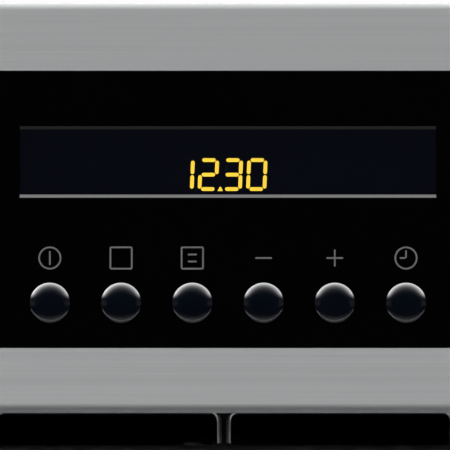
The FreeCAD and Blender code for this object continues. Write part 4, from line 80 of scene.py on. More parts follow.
world = bpy.data.worlds.new("studio")
scene.world = world
world.use_nodes = True
sky = world.node_tree
compass = add(sky, "SeparateXYZ")
sky.links.new(add(sky, "TexCoord").outputs["Generated"], compass.inputs["Vector"])
way_x, way_y, way_z = (compass.outputs[axis] for axis in "XYZ")
overhead_level, overhead_fade = 12.0, 2.2
behind_level, below_level, beside_level, fill_level = 0.85, 0.25, 0.075, 0.06
# Overhead: in front of the oven, strongest a little forward of straight up and a little stronger on the left.
overhead = calc(sky, "POWER", calc(sky, "MAXIMUM", calc(sky, "ADD", way_y, 1.0), 0.0), overhead_fade)
overhead = calc(sky, "MULTIPLY", overhead, rise(sky, way_y, -0.2, 0.0, overhead_level, 0.0))
overhead = calc(sky, "MULTIPLY", overhead, rise(sky, way_z, 0.2, 0.5))
overhead = calc(sky, "MULTIPLY", overhead, rise(sky, way_x, -0.9, 0.6, 1.15, 0.9))
# Beside: a narrow level band on the left and on the right.
off_level = calc(sky, "ABSOLUTE", calc(sky, "ADD", way_z, 0.05))
beside = calc(sky, "MULTIPLY", rise(sky, calc(sky, "ABSOLUTE", way_x), 0.5, 0.75),
              rise(sky, off_level, 0.03, 0.16, beside_level, 0.0))
# Behind: nearly white, and less towards straight up.
behind = calc(sky, "MULTIPLY", rise(sky, way_y, 0.0, 0.3, 0.004, behind_level),
              rise(sky, way_z, 0.45, 0.8, 1.0, 0.4))
# Below and fill: faint light from straight below and from everywhere above.
below = rise(sky, way_z, -0.4, -0.97, 0.0, below_level)
level = calc(sky, "ADD", overhead, behind)
level = calc(sky, "ADD", level, calc(sky, "MAXIMUM", beside, below))
level = calc(sky, "ADD", level, rise(sky, way_z, 0.12, 0.4, 0.0, fill_level))
shown = calc(sky, "MAXIMUM", add(sky, "LightPath").outputs["Is Camera Ray"], level)
sky.links.new(shown, sky.nodes["Background"].inputs["Strength"])
sky.nodes["Background"].inputs["Color"].default_value = (1, 1, 1, 1)

bpy.ops.object.light_add(type="AREA", location=(0.7, 2.2, 1.8),
                         rotation=(math.radians(-58), 0, math.radians(-20)))
rear_lamp = bpy.context.object
rear_lamp.name = "lamp_rear"
rear_lamp.data.shape = "RECTANGLE"
rear_lamp.data.size, rear_lamp.data.size_y = 2.6, 2.0
rear_lamp.data.energy = 10
rear_lamp.visible_camera = False

bpy.ops.object.camera_add(location=(-0.0008, -1.222, 0.5364), rotation=(math.pi / 2, 0, 0))
scene.camera = bpy.context.object
scene.camera.data.sensor_width = 36
scene.camera.data.lens = 352
scene.camera.data.clip_start = 0.05


def bare():
    """Object mode with nothing selected."""
    if bpy.context.object and bpy.context.object.mode != "OBJECT":
        bpy.ops.object.mode_set(mode="OBJECT")
    bpy.ops.object.select_all(action="DESELECT")


def settle(name):
    """Names the newest piece and puts its place and size into its mesh."""
    piece = bpy.context.object
    piece.name = piece.data.name = name
    bpy.ops.object.transform_apply(location=True, rotation=True, scale=True)
    return piece


def uneven_surface():
    """The node group for uneven colour and polish: a grain stretched along chosen ways."""
    group = bpy.data.node_groups.new("uneven_surface", "ShaderNodeTree")
    for name, kind in (
        ("Stretch", "NodeSocketVector"),
        ("Dark", "NodeSocketColor"),
        ("Light", "NodeSocketColor"),
        ("Smooth", "NodeSocketFloat"),
        ("Rough", "NodeSocketFloat"),
    ):
        group.interface.new_socket(name, in_out="INPUT", socket_type=kind)
    for name, kind in (
        ("Colour", "NodeSocketColor"),
        ("Roughness", "NodeSocketFloat"),
        ("Height", "NodeSocketFloat"),
    ):
        group.interface.new_socket(name, in_out="OUTPUT", socket_type=kind)
    source = group.nodes.new("NodeGroupInput")
    result = group.nodes.new("NodeGroupOutput")
    stretched = add(group, "VectorMath", operation="MULTIPLY")
    group.links.new(add(group, "TexCoord").outputs["Object"], stretched.inputs[0])
    group.links.new(source.outputs["Stretch"], stretched.inputs[1])
    fine = add(group, "TexNoise", {"Scale": 1.0, "Detail": 4.0, "Roughness": 0.6})
    group.links.new(stretched.outputs["Vector"], fine.inputs["Vector"])
    broad = add(group, "TexNoise", {"Scale": 0.17, "Detail": 2.0, "Roughness": 0.5})
    group.links.new(stretched.outputs["Vector"], broad.inputs["Vector"])
    share = add(group, "MapRange", {"From Min": 0.7, "From Max": 1.3})
    group.links.new(calc(group, "ADD", fine.outputs["Fac"], broad.outputs["Fac"]), share.inputs["Value"])
    tint = add(group, "Mix", data_type="RGBA")
    group.links.new(share.outputs["Result"], tint.inputs["Factor"])
    group.links.new(source.outputs["Dark"], tint.inputs["A"])
    group.links.new(source.outputs["Light"], tint.inputs["B"])
    polish = add(group, "MapRange", {"From Min": 0.0, "From Max": 1.0})
    group.links.new(share.outputs["Result"], polish.inputs["Value"])
    group.links.new(source.outputs["Smooth"], polish.inputs["To Min"])
    group.links.new(source.outputs["Rough"], polish.inputs["To Max"])
    group.links.new(tint.outputs["Result"], result.inputs["Colour"])
    group.links.new(polish.outputs["Result"], result.inputs["Roughness"])
    group.links.new(fine.outputs["Fac"], result.inputs["Height"])
    return group


UNEVEN = uneven_surface()


def finish(name, dark, light, smooth, rough, stretch, bump, metallic=0.0, sockets=None):
    """A finish that wavers between two colours and two polishes; stretch is grains per metre on X, Y and Z."""
    material = bpy.data.materials.new(name)
    material.use_nodes = True
    tree = material.node_tree
    shader = tree.nodes["Principled BSDF"]
    shader.inputs["Metallic"].default_value = metallic
    for socket, value in (sockets or {}).items():
        shader.inputs[socket].default_value = value
    grain = tree.nodes.new("ShaderNodeGroup")
    grain.name = "grain"
    grain.node_tree = UNEVEN
    values = {"Stretch": stretch, "Dark": (*dark, 1), "Light": (*light, 1), "Smooth": smooth, "Rough": rough}
    for socket, value in values.items():
        grain.inputs[socket].default_value = value
    relief = add(tree, "Bump", {"Strength": 1.0, "Distance": bump})
    relief.name = "relief"
    tree.links.new(grain.outputs["Colour"], shader.inputs["Base Color"])
    tree.links.new(grain.outputs["Roughness"], shader.inputs["Roughness"])
    tree.links.new(grain.outputs["Height"], relief.inputs["Height"])
    tree.links.new(relief.outputs["Normal"], shader.inputs["Normal"])
    return material


floor_size, floor_drop = 9, 0.0005
bare()
bpy.ops.mesh.primitive_plane_add(size=floor_size, location=(0, 0, -floor_drop))
floor = settle("studio_floor")
floor_paint = finish("floor_paint", (0.78, 0.78, 0.78), (0.84, 0.84, 0.84), 0.7, 0.9, (3, 3, 3), 0.0002)
floor.data.materials.append(floor_paint)
floor.visible_glossy = False

# Chassis: walls, base pan, rear panel, top cover and deck, folded from zinc-coated steel sheet with its
# crystal spangle, with pressed fields that stiffen them. Small cross-head screws hold them together.
zinc = finish("zinc_sheet", (0.31, 0.325, 0.335), (0.39, 0.405, 0.415), 0.40, 0.46, (260, 260, 260),
              0.00001, 0.9)
zinc_tree = zinc.node_tree
crystals = add(zinc_tree, "TexVoronoi", {"Scale": 130.0})
zinc_tree.links.new(add(zinc_tree, "TexCoord").outputs["Object"], crystals.inputs["Vector"])
crystal_tone = add(zinc_tree, "Mix", {"Factor": 0.4}, data_type="RGBA", blend_type="SOFT_LIGHT")
zinc_tree.links.new(zinc_tree.nodes["grain"].outputs["Colour"], crystal_tone.inputs["A"])
zinc_tree.links.new(crystals.outputs["Color"], crystal_tone.inputs["B"])
crystal_grey = add(zinc_tree, "HueSaturation", {"Saturation": 0.12})
zinc_tree.links.new(crystal_tone.outputs["Result"], crystal_grey.inputs["Color"])
zinc_tree.links.new(crystal_grey.outputs["Color"], zinc_tree.nodes["Principled BSDF"].inputs["Base Color"])


def dress(material, *names):
    """Gives CAD nodes a finish."""
    for name in names:
        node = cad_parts[name]
        if not node.material_slots:
            node.data.materials.append(material)
        for held in node.material_slots:
            held.material = material


dress(zinc, "side_panel_left", "side_panel_right", "rear_panel", "top_cover", "base_pan", "deck_plate")
dress(zinc, "panel_brackets", "hinge_receivers")
MM = 0.001


def alone(piece):
    """Object mode with one piece selected and active."""
    bare()
    piece.select_set(True)
    bpy.context.view_layer.objects.active = piece


def pick(piece, kind, test):
    """Edit mode on a piece, with the faces, edges or corners that pass a test selected."""
    alone(piece)
    bpy.ops.object.mode_set(mode="EDIT")
    bpy.ops.mesh.select_mode(type=kind)
    bpy.ops.mesh.select_all(action="DESELECT")
    bpy.ops.object.mode_set(mode="OBJECT")
    mesh = piece.data
    for item in {"FACE": mesh.polygons, "EDGE": mesh.edges, "VERT": mesh.vertices}[kind]:
        item.select = test(item)
    bpy.ops.object.mode_set(mode="EDIT")


def eased(piece, test, size, segments):
    """Rounds the edges of a piece that pass a test, by a size in millimetres."""
    pick(piece, "EDGE", test)
    bpy.ops.mesh.bevel(offset=size * MM, segments=segments)
    bare()


def block(name, low, high):
    """A block between two corners in millimetres, to start a piece from."""
    bare()
    low, high = Vector(low) * MM, Vector(high) * MM
    bpy.ops.mesh.primitive_cube_add(size=1, location=(low + high) / 2, scale=high - low)
    return settle(name)


def change(piece, kind, **settings):
    """Adds a modifier to a piece and applies it."""
    alone(piece)
    made = piece.modifiers.new(kind.lower(), kind)
    for name, value in settings.items():
        setattr(made, name, value)
    bpy.ops.object.modifier_apply(modifier=made.name)


def smooth(piece, degrees=40):
    """Smooth shading except at edges sharper than an angle."""
    alone(piece)
    bpy.ops.object.shade_smooth_by_angle(angle=math.radians(degrees))


def copied(piece, name, shift, turn=None):
    """A copy of a piece with its own mesh, turned about the origin and then moved by millimetres."""
    alone(piece)
    bpy.ops.object.duplicate(linked=False)
    made = bpy.context.object
    if turn:
        made.rotation_euler = turn
    made.location = Vector(shift) * MM
    return settle(name)


def joined(name, pieces):
    """One piece from several."""
    bare()
    for piece in pieces:
        piece.select_set(True)
    bpy.context.view_layer.objects.active = pieces[0]
    bpy.ops.object.join()
    made = bpy.context.object
    made.name = made.data.name = name
    return made


def fit(piece, material, body, slot, *nodes):
    """Finishes a piece: its material, the body it rides and the CAD nodes it stands for; the slot is not used."""
    piece.data.materials.clear()
    piece.data.materials.append(material)
    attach(piece, body)
    if nodes:
        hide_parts(*nodes)


plated = finish("plated_screw", (0.50, 0.50, 0.50), (0.66, 0.66, 0.65), 0.22, 0.4, (900, 900, 900), 0.00001, 1.0)
head_radius, head_height, head_easing = 3.4, 1.8, 0.9
cross_long, cross_half, cross_floor, cross_top = 2.0, 0.4, 0.9, 2.4
bare()
bpy.ops.mesh.primitive_cylinder_add(vertices=20, radius=head_radius * MM, depth=head_height * MM,
                                    location=(0, 0, head_height / 2 * MM))
screw = settle("screw")


def on_head(edge):
    """The edges around the top of the screw's head."""
    return all(screw.data.vertices[index].co.z > (head_height - 0.1) * MM for index in edge.vertices)


eased(screw, on_head, head_easing, 3)
for reach_x, reach_y in ((cross_long, cross_half), (cross_half, cross_long)):
    cutter = block("screw_cross", (-reach_x, -reach_y, cross_floor), (reach_x, reach_y, cross_top))
    change(screw, "BOOLEAN", object=cutter, operation="DIFFERENCE")
    bpy.data.objects.remove(cutter)
smooth(screw)
quarter = math.pi / 2
screw_turns = {"-x": (0, -quarter, 0), "+x": (0, quarter, 0), "+y": (-quarter, 0, 0), "+z": (0, 0, 0)}
side_half, rear_face, top_face = 278, 546, 584
screw_rows = {
    "-x": [(-side_half, y, z) for z in (7, 572) for y in (30, 270, 520)],
    "+x": [(side_half, y, z) for z in (7, 572) for y in (30, 270, 520)],
    "+y": [(x, rear_face, z) for x in (-266, 266) for z in (20, 210, 400, 560)] + [(-90, rear_face, 572)],
    "+z": [(x, y, top_face) for x in (-270, 270) for y in (20, 270, 530)],
}
screws = [
    copied(screw, f"screw_{facing}_{index}", place, screw_turns[facing])
    for facing, places in screw_rows.items()
    for index, place in enumerate(places)
]
bpy.data.objects.remove(screw)
fit(joined("chassis_screws", screws), plated, "oven", "zinc_sheet")

# Front frame and cavity: pressed sheet, welded and coated with dark glass enamel, fired to a high gloss with
# fine pale specks. A woven glass-fibre sleeve in front of the mouth seals against the door's inner pane.
enamel = finish("enamel", (0.040, 0.043, 0.051), (0.066, 0.070, 0.080), 0.12, 0.24, (70, 70, 70), 0.00003)


def spots(material, scale, share, colour):
    """Scatters small round spots of another colour over a finish; share is the spots' reach within a cell."""
    tree = material.node_tree
    shader = tree.nodes["Principled BSDF"]
    cells = add(tree, "TexVoronoi", {"Scale": scale})
    tree.links.new(add(tree, "TexCoord").outputs["Object"], cells.inputs["Vector"])
    near = add(tree, "MapRange", {"From Min": share, "From Max": share * 0.6, "To Min": 0.0, "To Max": 1.0})
    tree.links.new(cells.outputs["Distance"], near.inputs["Value"])
    tint = add(tree, "Mix", data_type="RGBA")
    tint.inputs["B"].default_value = (*colour, 1)
    tree.links.new(near.outputs["Result"], tint.inputs["Factor"])
    tree.links.new(tree.nodes["grain"].outputs["Colour"], tint.inputs["A"])
    tree.links.new(tint.outputs["Result"], shader.inputs["Base Color"])


spots(enamel, 260, 0.22, (0.32, 0.34, 0.38))
dress(enamel, "front_frame", "cavity", "fan_cover")


def every(item):
    """The test that picks all of a piece."""
    return True


def wire(name, points, radius, bend=0.0, closed=False, steps=5, rounds=2):
    """A round wire through points in millimetres, its corners bent; radius and bend are in millimetres too."""
    bare()
    places = [Vector(point) * MM for point in points]
    bpy.ops.mesh.primitive_plane_add(size=MM, location=places[0])
    piece = settle(name)
    pick(piece, "VERT", every)
    bpy.ops.mesh.merge(type="CENTER")
    for here, there in zip(places, places[1:]):
        bpy.ops.mesh.extrude_vertices_move(TRANSFORM_OT_translate={"value": there - here})

    def at_end(corner):
        return min((corner.co - places[0]).length, (corner.co - places[-1]).length) < 1e-6

    if closed:
        pick(piece, "VERT", at_end)
        bpy.ops.mesh.edge_face_add()
    if bend:
        pick(piece, "VERT", lambda corner: closed or not at_end(corner))
        bpy.ops.mesh.bevel(offset=bend * MM, segments=steps, affect="VERTICES")
    alone(piece)
    bpy.ops.object.convert(target="CURVE")
    piece = bpy.context.object
    piece.data.bevel_depth = radius * MM
    piece.data.bevel_resolution = rounds
    piece.data.use_fill_caps = True
    bpy.ops.object.convert(target="MESH")
    piece = bpy.context.object
    piece.name = piece.data.name = name
    smooth(piece, 60)
    return piece


sleeve = finish("glass_sleeve", (0.05, 0.05, 0.05), (0.14, 0.14, 0.135), 0.75, 0.95, (900, 900, 900), 0.0003)
seal_half, seal_y, seal_low, seal_high, seal_radius, seal_bend = 241, 15, 71, 438, 2.6, 24
seal = wire(
    "door_seal_sleeve",
    [(-seal_half, seal_y, seal_low), (seal_half, seal_y, seal_low), (seal_half, seal_y, seal_high),
     (-seal_half, seal_y, seal_high)],
    seal_radius, seal_bend, closed=True, rounds=4,
)
fit(seal, sleeve, "oven", "seal_grey", "door_seal")

# Insulation: a soft mat of yellowish mineral wool wrapped around the cavity, cut out for the motor, the lamp
# and the heater ends. It is a little lumpy and frayed at its cut edges.
wool = finish("mineral_wool", (0.36, 0.29, 0.13), (0.62, 0.54, 0.31), 0.9, 1.0, (240, 240, 900), 0.0012)
bare()
mat_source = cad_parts["insulation"]
mat = bpy.data.objects.new("insulation_mat", mat_source.data.copy())
bpy.context.collection.objects.link(mat)
pick(mat, "VERT", every)
bpy.ops.mesh.remove_doubles(threshold=0.00001)
bare()
change(mat, "REMESH", mode="VOXEL", voxel_size=0.006)
lumps = bpy.data.textures.new("wool_lumps", "CLOUDS")
lumps.noise_scale = 0.03
change(mat, "DISPLACE", texture=lumps, strength=0.004, mid_level=1.45)
change(mat, "SMOOTH", factor=0.5, iterations=2)
smooth(mat, 80)
fit(mat, wool, "oven", "wool_yellow", "insulation")

# Heaters: steel tubes filled with packed magnesia around a coil, annealed dark. The grill hangs under the
# ceiling in passes, the ring stands around the fan and the bottom loop lies under the floor.
annealed = finish("annealed_tube", (0.10, 0.09, 0.08), (0.22, 0.20, 0.18), 0.38, 0.55, (160, 160, 160),
                  0.00002, 1.0)
tube, heater_bend, heater_end = 3.25, 24, 440
plate_front, plate_back, plate_edge, plate_easing = 425.4, 426.6, 7.25, 0.3
grill_z, grill_front, grill_turn, grill_rear = 411, 70, 335, 375
grill_feed, grill_outer, grill_middle, grill_inner = 20, 190, 115, 40
grill_half = [(-grill_feed, heater_end), (-grill_feed, grill_rear), (-grill_outer, grill_rear),
              (-grill_outer, grill_front), (-grill_middle, grill_front), (-grill_middle, grill_turn),
              (-grill_inner, grill_turn), (-grill_inner, grill_front)]
grill_path = grill_half + [(-x, y) for x, y in reversed(grill_half)]
grill = [wire("grill_tube", [(x, y, grill_z) for x, y in grill_path], tube, heater_bend, rounds=3)]
grill.append(block("grill_plate", (-grill_feed - plate_edge, plate_front, grill_z - plate_edge),
                   (grill_feed + plate_edge, plate_back, grill_z + plate_edge)))
strap_half, strap_front, strap_back, strap_top = 1.5, 192.5, 212.5, 426.9
for side in (-1, 1):
    grill.append(block(f"grill_strap_{side}", (side * grill_middle - strap_half, strap_front, grill_z),
                       (side * grill_middle + strap_half, strap_back, strap_top)))
for flat in grill[1:]:
    eased(flat, every, plate_easing, 2)
fit(joined("grill_heater", grill), annealed, "oven", "heater_steel", "grill_element")

bottom_z, bottom_feed, bottom_outer = 77.25, 30, 180
bottom_end, bottom_rear, bottom_front = 448, 390, 80
bottom_half = [(-bottom_feed, bottom_end), (-bottom_feed, bottom_rear), (-bottom_outer, bottom_rear),
               (-bottom_outer, bottom_front)]
bottom_path = bottom_half + [(-x, y) for x, y in reversed(bottom_half)]
bottom = wire("bottom_heater", [(x, y, bottom_z) for x, y in bottom_path], tube, heater_bend, rounds=3)
fit(bottom, annealed, "oven", "heater_steel", "bottom_element")

ring_reach, ring_y, fan_z, ring_end, ring_steps = 92, 411, 231, 9, 60
ring_open = math.asin(ring_end / ring_reach)
ring_turns = [ring_open + (2 * math.pi - 2 * ring_open) * step / ring_steps for step in range(ring_steps + 1)]
ring_path = [(ring_reach * math.sin(t), ring_y, fan_z - ring_reach * math.cos(t)) for t in ring_turns]
ring_foot = ring_path[0][2]
ring_path = [(ring_end, heater_end, ring_foot)] + ring_path + [(-ring_end, heater_end, ring_path[-1][2])]
ring = wire("ring_tube", ring_path, tube, rounds=3)
ring_plate = block("ring_plate", (-ring_end - plate_edge, plate_front, ring_foot - plate_edge),
                   (ring_end + plate_edge, plate_back, ring_foot + plate_edge))
eased(ring_plate, every, plate_easing, 2)
fit(joined("ring_heater", [ring, ring_plate]), annealed, "oven", "heater_steel", "ring_element")
dress(annealed, "temperature_probe")

# Lamp: a white ceramic holder in the rear wall with a small halogen capsule, under a square-cornered cover of
# pressed glass with a bevelled front. The door's two inner panes are clear glass too, and the terminal block is
# moulded in white as well.
clear = finish("clear_glass", (0.86, 0.91, 0.89), (0.93, 0.96, 0.95), 0.0, 0.035, (25, 25, 25), 0.000004,
               sockets={"Transmission Weight": 1.0, "IOR": 1.5})
dress(clear, "lamp_glass", "lamp_bulb", "door_middle_glass", "door_inner_glass")
moulded_white = finish("moulded_white", (0.40, 0.39, 0.35), (0.47, 0.46, 0.42), 0.45, 0.6, (300, 300, 300), 0.00005)
dress(moulded_white, "lamp_holder", "terminal_block")

# Fan: a bladed wheel cut and folded from aluminium on a steel shaft, turned by a small shaded-pole motor
# that stands behind the cavity on two legs.
alloy = finish("fan_alloy", (0.52, 0.53, 0.54), (0.66, 0.67, 0.68), 0.3, 0.5, (400, 400, 60), 0.00002, 1.0)
dress(alloy, "convection_fan", "door_profiles")
bright = finish("plated_steel", (0.44, 0.44, 0.45), (0.58, 0.58, 0.58), 0.24, 0.42, (250, 250, 250), 0.00002, 1.0)
dress(bright, "fan_shaft", "hinge_arms", "hinge_brackets", "hinge_pins")
laminated = finish("laminated_core", (0.14, 0.145, 0.16), (0.32, 0.33, 0.35), 0.45, 0.65, (30, 1400, 30),
                   0.0001, 0.6)
dress(laminated, "fan_motor", "blower_motor")

# Shelf rails, wire shelf and tray: round steel wire, bent, spot-welded and chromed; the tray is drawn from
# enamelled sheet. They slide on the rails and come out with the door open.
chrome = finish("chromed_wire", (0.62, 0.62, 0.63), (0.78, 0.78, 0.79), 0.07, 0.18, (120, 120, 120), 0.00001, 1.0)
rail_x, post_x, wall_x = 222.2, 226.5, 230
rail_front, rail_back, post_low, post_high = 45, 385, 119, 365
level_count, level_first, level_pitch, rail_gap, rail_bend = 4, 135, 66, 16, 7
rail_radius, post_radius, stud_radius = 2.2, 2.5, 2.0
post_places, stud_heights = (75, 350), (127, 357)
rails = []
for side in (-1, 1):
    for step in range(level_count):
        z = level_first + level_pitch * step
        loop = [(side * rail_x, rail_back, z), (side * rail_x, rail_front, z),
                (side * rail_x, rail_front, z + rail_gap), (side * rail_x, rail_back, z + rail_gap)]
        rails.append(wire(f"rail_loop_{side}_{step}", loop, rail_radius, rail_bend))
    for y in post_places:
        post = [(side * post_x, y, post_low), (side * post_x, y, post_high)]
        rails.append(wire(f"rail_post_{side}_{y}", post, post_radius))
        for z in stud_heights:
            stud = [(side * post_x, y, z), (side * wall_x, y, z)]
            rails.append(wire(f"rail_stud_{side}_{y}_{z}", stud, stud_radius))
fit(joined("rail_wires", rails), chrome, "oven", "wire_chrome", "shelf_rails")

shelf_z, shelf_half, shelf_front, shelf_back = 272.5, 219, 53, 377
shelf_radius, shelf_bend, rod_radius, rod_count = 3.0, 16, 1.8, 15
shelf_frame = [(-shelf_half, shelf_front, shelf_z), (shelf_half, shelf_front, shelf_z),
               (shelf_half, shelf_back, shelf_z), (-shelf_half, shelf_back, shelf_z)]
shelf = [wire("shelf_frame", shelf_frame, shelf_radius, shelf_bend, closed=True, rounds=3)]
for index in range(rod_count):
    x = (index - rod_count // 2) * 2 * shelf_half / (rod_count + 1)
    rod = [(x, shelf_front, shelf_z), (x, shelf_back, shelf_z)]
    shelf.append(wire(f"shelf_rod_{index}", rod, rod_radius))
fit(joined("shelf_wires", shelf), chrome, "oven", "wire_chrome", "wire_shelf")

tray_middle_y, tray_foot, tray_rim, tray_sheet = 215, 172.5, 203.5, 1.2
foot_wide, foot_deep, mouth_wide, mouth_deep, rim_wide, rim_deep = 398, 288, 416, 306, 444, 334
tray_corner, tray_bend = 26, 5
rim_middle = (0, tray_middle_y * MM, tray_rim * MM)
bare()
bpy.ops.mesh.primitive_plane_add(size=1, location=(0, tray_middle_y * MM, tray_foot * MM))
bpy.context.object.scale = (foot_wide * MM, foot_deep * MM, 1)
tray = settle("baking_tray_drawn")
pick(tray, "VERT", every)
bpy.ops.mesh.bevel(offset=tray_corner * MM, segments=6, affect="VERTICES")
pick(tray, "FACE", every)
bpy.ops.mesh.extrude_region_move(TRANSFORM_OT_translate={"value": (0, 0, (tray_rim - tray_foot) * MM)})
bpy.ops.transform.resize(value=(mouth_wide / foot_wide, mouth_deep / foot_deep, 1), center_override=rim_middle)
bpy.ops.mesh.extrude_region_move(TRANSFORM_OT_translate={"value": (0, 0, 0)})
bpy.ops.transform.resize(value=(rim_wide / mouth_wide, rim_deep / mouth_deep, 1), center_override=rim_middle)
bpy.ops.mesh.delete(type="FACE")
bare()


def at_foot(edge):
    """The edges around the tray's floor."""
    return all(abs(tray.data.vertices[index].co.z - tray_foot * MM) < 1e-5 for index in edge.vertices)


pick(tray, "EDGE", at_foot)
bpy.ops.mesh.bevel(offset=tray_bend * MM, segments=4)
bpy.ops.mesh.select_all(action="SELECT")
bpy.ops.mesh.normals_make_consistent(inside=False)
bare()
change(tray, "SOLIDIFY", thickness=tray_sheet * MM, offset=1.0)
smooth(tray, 35)
fit(tray, enamel, "oven", "enamel_grey", "baking_tray")

# Electrics: the power board stands on the deck with relays, a transformer and two capacitors soldered on; the
# moulded terminal block slides into the notch of the rear panel.
lacquer = finish("board_lacquer", (0.012, 0.085, 0.045), (0.02, 0.13, 0.07), 0.3, 0.45, (500, 500, 500), 0.00004)
board_top, panel_depth, part_colour = 0.4648, 0.1, (0.02, 0.022, 0.03, 1)
board_tree = lacquer.node_tree
board_place = add(board_tree, "SeparateXYZ")
board_tree.links.new(add(board_tree, "TexCoord").outputs["Object"], board_place.inputs["Vector"])
over_board = calc(board_tree, "GREATER_THAN", board_place.outputs["Z"], board_top)
behind_panel = calc(board_tree, "GREATER_THAN", board_place.outputs["Y"], panel_depth)
part_tone = add(board_tree, "Mix", data_type="RGBA")
part_tone.inputs["B"].default_value = part_colour
board_tree.links.new(calc(board_tree, "MULTIPLY", over_board, behind_panel), part_tone.inputs["Factor"])
board_tree.links.new(board_tree.nodes["grain"].outputs["Colour"], part_tone.inputs["A"])
board_tree.links.new(part_tone.outputs["Result"], board_tree.nodes["Principled BSDF"].inputs["Base Color"])
dress(lacquer, "power_board", "control_board")

# Control panel: a frame folded from brushed stainless steel, grained lengthways, with a rounded upper and lower
# edge, around a strip of black glass. The glass is bevelled above and below the display.
steel = finish("brushed_steel", (0.67, 0.68, 0.685), (0.76, 0.77, 0.775), 0.64, 0.70, (9, 2400, 2400),
               0.0000004, 1.0, {"Anisotropic": 0.85})
steel_tree = steel.node_tree
across_grain = add(steel_tree, "VectorTransform", {"Vector": (0.02, 1.0, 1.0)}, vector_type="VECTOR",
                   convert_from="OBJECT", convert_to="WORLD")
steel_tree.links.new(across_grain.outputs["Vector"], steel_tree.nodes["Principled BSDF"].inputs["Tangent"])
dress(steel, "fascia_frame", "door_top_rail", "door_bottom_rail", "bottom_trim")
black_glass = finish("black_glass", (0.0003, 0.0003, 0.0004), (0.0005, 0.0005, 0.0006), 0.02, 0.04, (30, 30, 30),
                     0.000001, sockets={"IOR": 1.68})
dress(black_glass, "fascia_glass")

# Display: a smoked lens in a bevelled window of the glass, kept in by a lip behind it, over a black module whose
# lit amber segments show the time; the module's face has a faint navy glow, which is painted light. The segments
# lean a little, and a small lit wedge parts hours and minutes.
smoked = finish("smoked_lens", (0.16, 0.17, 0.20), (0.19, 0.20, 0.23), 0.0, 0.02, (30, 30, 30), 0.000002,
                sockets={"Transmission Weight": 1.0, "IOR": 1.5})
dress(smoked, "display_lens")
black_plastic = finish("black_plastic", (0.004, 0.004, 0.0045), (0.008, 0.008, 0.009), 0.4, 0.6,
                       (1500, 1500, 1500), 0.00003)
dress(black_plastic, "fascia_carrier", "control_housing", "door_cap", "tact_switches")
# Painted light: the module's face glows faintly navy, standing in for the dim light that reaches it through the lens.
module_painted_glow = finish("module_painted_glow", (0.002, 0.0025, 0.004), (0.003, 0.0035, 0.005), 0.4, 0.5, (900, 900, 900),
                     0.00001, sockets={"Emission Color": (0.5, 0.64, 1.0, 1), "Emission Strength": 0.022})
dress(module_painted_glow, "display_module")

amber = finish("amber_light", (0.10, 0.06, 0.01), (0.14, 0.08, 0.012), 0.4, 0.5, (600, 600, 600), 0.00001,
               sockets={"Emission Strength": 6.5})
amber_tree = amber.node_tree
amber_glow = add(amber_tree, "Mix", data_type="RGBA")
amber_glow.inputs["A"].default_value = (0.93, 0.58, 0.04, 1)
amber_glow.inputs["B"].default_value = (0.99, 0.66, 0.055, 1)
amber_tree.links.new(amber_tree.nodes["grain"].outputs["Height"], amber_glow.inputs["Factor"])
amber_tree.links.new(amber_glow.outputs["Result"], amber_tree.nodes["Principled BSDF"].inputs["Emission Color"])
segment_front, segment_back, stroke, segment_end = -16.15, -16.0, 1.02, 0.5
digit_half, digit_top, digit_middle, digit_low = 2.26, 554.17, 550.17, 546.24
digit_lean = math.radians(2.4)


def along(piece, axis):
    """A test for the edges of a piece that run along an axis."""

    def test(edge):
        start, end = (piece.data.vertices[index].co for index in edge.vertices)
        run = (end - start).normalized()
        return abs(run["xyz".index(axis)]) > 0.99

    return test


def bar(name, x, z, width, height):
    """One lit bar with rounded ends, leaning a little with the digit."""
    piece = block(name, (-width / 2, segment_front, -height / 2), (width / 2, segment_back, height / 2))
    eased(piece, along(piece, "y"), segment_end, 4)
    alone(piece)
    if height > width:
        piece.rotation_euler = (0, digit_lean, 0)
    piece.location = Vector((x + math.tan(digit_lean) * (z - digit_middle), 0, z)) * MM
    return settle(name)


lying_gap, standing_gap = 0.85, 0.35
lying, standing = 2 * digit_half - lying_gap, digit_top - digit_middle - standing_gap
upper, lower = (digit_top + digit_middle) / 2, (digit_middle + digit_low) / 2
BARS = {
    "a": (0, digit_top, lying, stroke), "g": (0, digit_middle, lying, stroke), "d": (0, digit_low, lying, stroke),
    "f": (-digit_half, upper, stroke, standing), "b": (digit_half, upper, stroke, standing),
    "e": (-digit_half, lower, stroke, standing), "c": (digit_half, lower, stroke, standing),
}
DIGITS = ((-12.0, "bc"), (-5.35, "abged"), (1.2, "abgcd"), (7.9, "abcdef"))
lit = []
for place, (x, bars) in enumerate(DIGITS):
    for letter in bars:
        across, up, width, height = BARS[letter]
        lit.append(bar(f"digit_{place}_{letter}", x + across, up, width, height))
point_x, point_half, point_low, point_top, point_taper = -2.1, 0.75, 545.7, 546.85, 0.2
point = block("digit_point", (point_x - point_half, segment_front, point_low),
              (point_x + point_half, segment_back, point_top))
pick(point, "VERT", lambda corner: corner.co.z > (point_low + point_top) / 2 * MM)
bpy.ops.transform.resize(value=(point_taper, 1, 1), center_override=(point_x * MM, 0, point_top * MM))
bare()
lit.append(point)
fit(joined("display_digits", lit), amber, "oven", "lens_smoke")

# Signs: six small plain marks printed in grey on the face of the glass, one over each button. They are thin
# strokes of even width with eased corners: rings, squares, dashes and clock hands.
print_grey = finish("print_grey", (0.085, 0.085, 0.088), (0.105, 0.105, 0.108), 0.45, 0.6, (2500, 2500, 2500),
                    0.000004)
sign_front, sign_back, sign_z, sign_stroke = -21.83, -21.8, 527.4, 0.47
stroke_easing, square_corner = 0.12, 0.55
BUTTONS = ("power", "function", "heat", "minus", "plus", "clock")


def button_middle(name):
    """Place of a button across and up the panel, in millimetres."""
    low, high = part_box(f"button_{name}")
    return (low.x + high.x) / 2 / MM, (low.z + high.z) / 2 / MM


def mark(name, low, high):
    """A flat printed stroke between two corners, its corners eased."""
    piece = block(name, (low[0], sign_front, low[1]), (high[0], sign_back, high[1]))
    eased(piece, along(piece, "y"), stroke_easing, 2)
    return piece


